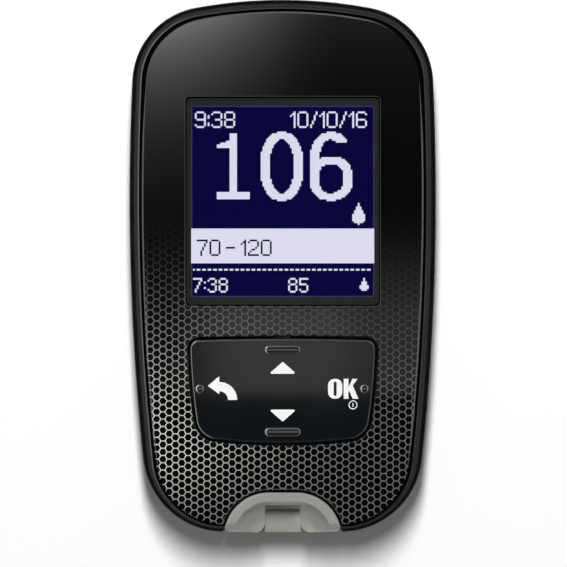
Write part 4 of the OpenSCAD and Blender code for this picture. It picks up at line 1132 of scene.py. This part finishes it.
add_shell()
add(front_panel(), "housing", honeycomb_panel(), "panel_gloss", "front_panel")
add_window()
add_keys()
port_grey = moulded("port_grey", rgb(142, 142, 137), 0.36, 0.6, 0.002, wear=0.04)
add(port_block(), "housing", port_grey, "port_grey", "strip_port")
add_picture()

shell_black = moulded("shell_black", rgb(34, 34, 36), 0.5, 0.3, 0.02)
carry_over("lcd_glass", lit("screen_navy", rgb(10, 6, 60), 1.0, 0.8))
carry_over("lcd_bezel", moulded("bezel_dark", rgb(36, 38, 36), 0.6, 0.2, 0.004))
carry_over("back_cover", shell_black, 35)
carry_over("battery_door", shell_black, 35)
carry_over("light_guide", moulded("guide_white", rgb(235, 236, 240), 0.3, 0.5, 0.01, wear=0.04))
carry_over("lcd_holder", moulded("holder_white", rgb(205, 203, 196), 0.5, 0.3, 0.01))
carry_over("lcd_flex", moulded("flex_amber", rgb(190, 110, 30), 0.3, 0.3, 0.002))
carry_over("key_gimbal", moulded("acetal", rgb(222, 220, 208), 0.35, 0.3, 0.004, wear=0.05))
carry_over("key_frame", moulded("frame_black", rgb(22, 22, 22), 0.6, 0.3, 0.01))
carry_over("tact_switches", metal("switch_metal", rgb(190, 190, 194), 0.35))
carry_over("main_board", moulded("board_green", rgb(9, 44, 25), 0.35, 0.8, 0.01, wear=0.3))
carry_over("board_components", moulded("chip_black", rgb(30, 30, 32), 0.55, 0.15, 0.01))
carry_over("strip_connector", moulded("connector_cream", rgb(228, 222, 200), 0.45, 0.3, 0.01))
carry_over("contact_springs", metal("contact_gold", rgb(150, 118, 66), 0.3))
carry_over("ejector_button", moulded("button_grey", rgb(118, 118, 115), 0.42, 0.2, 0.01))
carry_over("ejector_arm", moulded("arm_acetal", rgb(224, 222, 212), 0.35, 0.3, 0.004, wear=0.05))
carry_over("ejector_spring", metal("spring_steel", rgb(178, 178, 184), 0.25), 60)
carry_over("usb_connector", metal("socket_steel", rgb(200, 200, 204), 0.28))
carry_over("coin_cells", metal("cell_steel", rgb(205, 205, 208), 0.2))
carry_over("battery_contacts", metal("leaf_nickel", rgb(206, 200, 184), 0.25))
carry_over("housing_screws", metal("screw_steel", rgb(176, 176, 182), 0.3))
carry_over("buzzer", moulded("buzzer_black", rgb(36, 36, 36), 0.5, 0.2, 0.01))
carry_over("port_leds", moulded("led_white", rgb(244, 240, 200), 0.25, 0.3, 0.004, wear=0.04))


# ---------------------------------------------------------------- studio

def flat_square(name, z):
    """Wide level square at height z."""
    h = STAGE_HALF
    return from_faces(name, [(-h, -h, z), (h, -h, z), (h, h, z), (-h, h, z)], [(0, 1, 2, 3)])


def area(name, at, target, size, power):
    """Oval lamp that lights the object but shows in no reflection."""
    light = bpy.data.lights.new(name, "AREA")
    light.shape = "ELLIPSE"
    light.size = size[0] * MM
    light.size_y = size[1] * MM
    light.energy = power
    obj = new_object(name, light)
    obj.location = [v * MM for v in at]
    obj.visible_glossy = False
    obj.visible_transmission = False
    direction = Vector(target) * MM - obj.location
    obj.rotation_euler = direction.to_track_quat("-Z", "Y").to_euler()


def floor():
    """White floor, a little brighter where it is seen than where it lights the object."""
    obj = flat_square("floor", 0)
    m = Nodes("floor_white")
    path = m.add("ShaderNodeLightPath")
    seen = m.math("MAXIMUM", path.outputs["Is Camera Ray"],
                  m.math("MAXIMUM", path.outputs["Is Glossy Ray"], path.outputs["Is Transmission Ray"]))
    m.set(base_color=(0.94, 0.94, 0.94, 1), roughness=1.0, emission_color=(1, 1, 1, 1),
          emission_strength=m.math("MULTIPLY", seen, 0.04))
    m.hold(Specular_IOR_Level=0.0)
    dress(obj, m.material)


def card_light(m):
    """Strength of the card's light over its x and y."""
    x, y, _ = m.split(m.place)
    # Upper left: a light that doubles with every 11.5 mm and levels off at three times its
    # strength at y = 77 mm.
    double_y, full_y = 11.5, 77
    across = m.math("MULTIPLY_ADD", m.math("POWER", m.step(x, 45, -100), 1.3), 0.95, 0.05)
    rise = m.math("POWER", 2.0, m.math("MULTIPLY_ADD", y, 1 / (double_y * MM), -full_y / double_y))
    upper = m.times(across, m.math("MINIMUM", rise, 3.0), m.step(y, 190, 110), m.step(x, -260, -160))
    # A band across, which ends sharply below and fades upwards and to the sides.
    band = m.times(m.step(y, -49, -43), m.math("POWER", m.step(y, 27, -29), 1.4),
                   m.step(x, -80, -25, 0.08), m.step(x, 65, 25, 0.55), m.step(x, 260, 140))
    inner = m.math("MULTIPLY_ADD", upper, 1.45, m.math("MULTIPLY", band, 0.5))
    # Beyond what the panel shows from the front: bright on the left, less on the other sides.
    left = m.times(m.step(x, -105, -150, 0.0, 5.0), m.step(x, -420, -200, 0.05))
    right = m.times(m.step(x, 105, 150, 0.0, 1.6), m.step(x, 420, 200, 0.12))
    sides = m.times(m.math("ADD", left, right), m.step(y, -300, -120, 0.3), m.step(y, 420, 260, 0.15))
    top = m.times(m.step(y, 110, 160, 0.0, 1.1), m.step(y, 420, 240, 0.18))
    bottom = m.times(m.step(y, -110, -160, 0.0, 0.35), m.step(y, -420, -240, 0.1))
    outer = m.math("MAXIMUM", sides, m.math("MAXIMUM", top, bottom))
    return m.math("ADD", inner, outer)


def card():
    """Soft card above the object, seen only in its gloss."""
    obj = flat_square("gloss_card", CARD_Z)
    m = Nodes("card_gradient")
    m.set(base_color=(0, 0, 0, 1), roughness=1.0, emission_color=(1, 0.965, 0.94, 1),
          emission_strength=card_light(m))
    dress(obj, m.material)
    obj.visible_camera = False
    obj.visible_diffuse = False
    obj.visible_transmission = False
    obj.visible_shadow = False


def world():
    """White where it is seen or mirrored, and dim as light on the object."""
    w = bpy.data.worlds.new("studio")
    bpy.context.scene.world = w
    w.use_nodes = True
    tree = w.node_tree
    background = tree.nodes["Background"]
    background.inputs["Color"].default_value = (1, 1, 1, 1)
    path = tree.nodes.new("ShaderNodeLightPath")
    seen = tree.nodes.new("ShaderNodeMath")
    seen.operation = "MAXIMUM"
    tree.links.new(path.outputs["Is Camera Ray"], seen.inputs[0])
    tree.links.new(path.outputs["Is Glossy Ray"], seen.inputs[1])
    level = tree.nodes.new("ShaderNodeMapRange")
    level.inputs["To Min"].default_value = 0.12
    level.inputs["To Max"].default_value = 1.0
    tree.links.new(seen.outputs[0], level.inputs["Value"])
    tree.links.new(level.outputs[0], background.inputs["Strength"])


def camera():
    """Camera straight above, at the photo's scale. Its tilt shows a little of the socket end."""
    data = bpy.data.cameras.new("camera")
    data.lens = FOCAL_LENGTH
    data.clip_start = 0.01
    data.clip_end = 20
    obj = new_object("camera", data)
    distance = FOCAL_LENGTH * IMAGE_PX / (SENSOR * PX_PER_MM)
    tilt = math.radians(CAMERA_TILT)
    target = Vector(CAMERA_TARGET) * MM
    obj.location = target + Vector((0, math.sin(tilt), math.cos(tilt))) * distance * MM
    obj.rotation_euler = (-tilt, 0, 0)
    bpy.context.scene.camera = obj


floor()
card()
world()
camera()
area("key_light", (-4, 150, 560), (0, 0, 10), (48, 210), 3.3)
bpy.context.scene.view_settings.view_transform = "Standard"
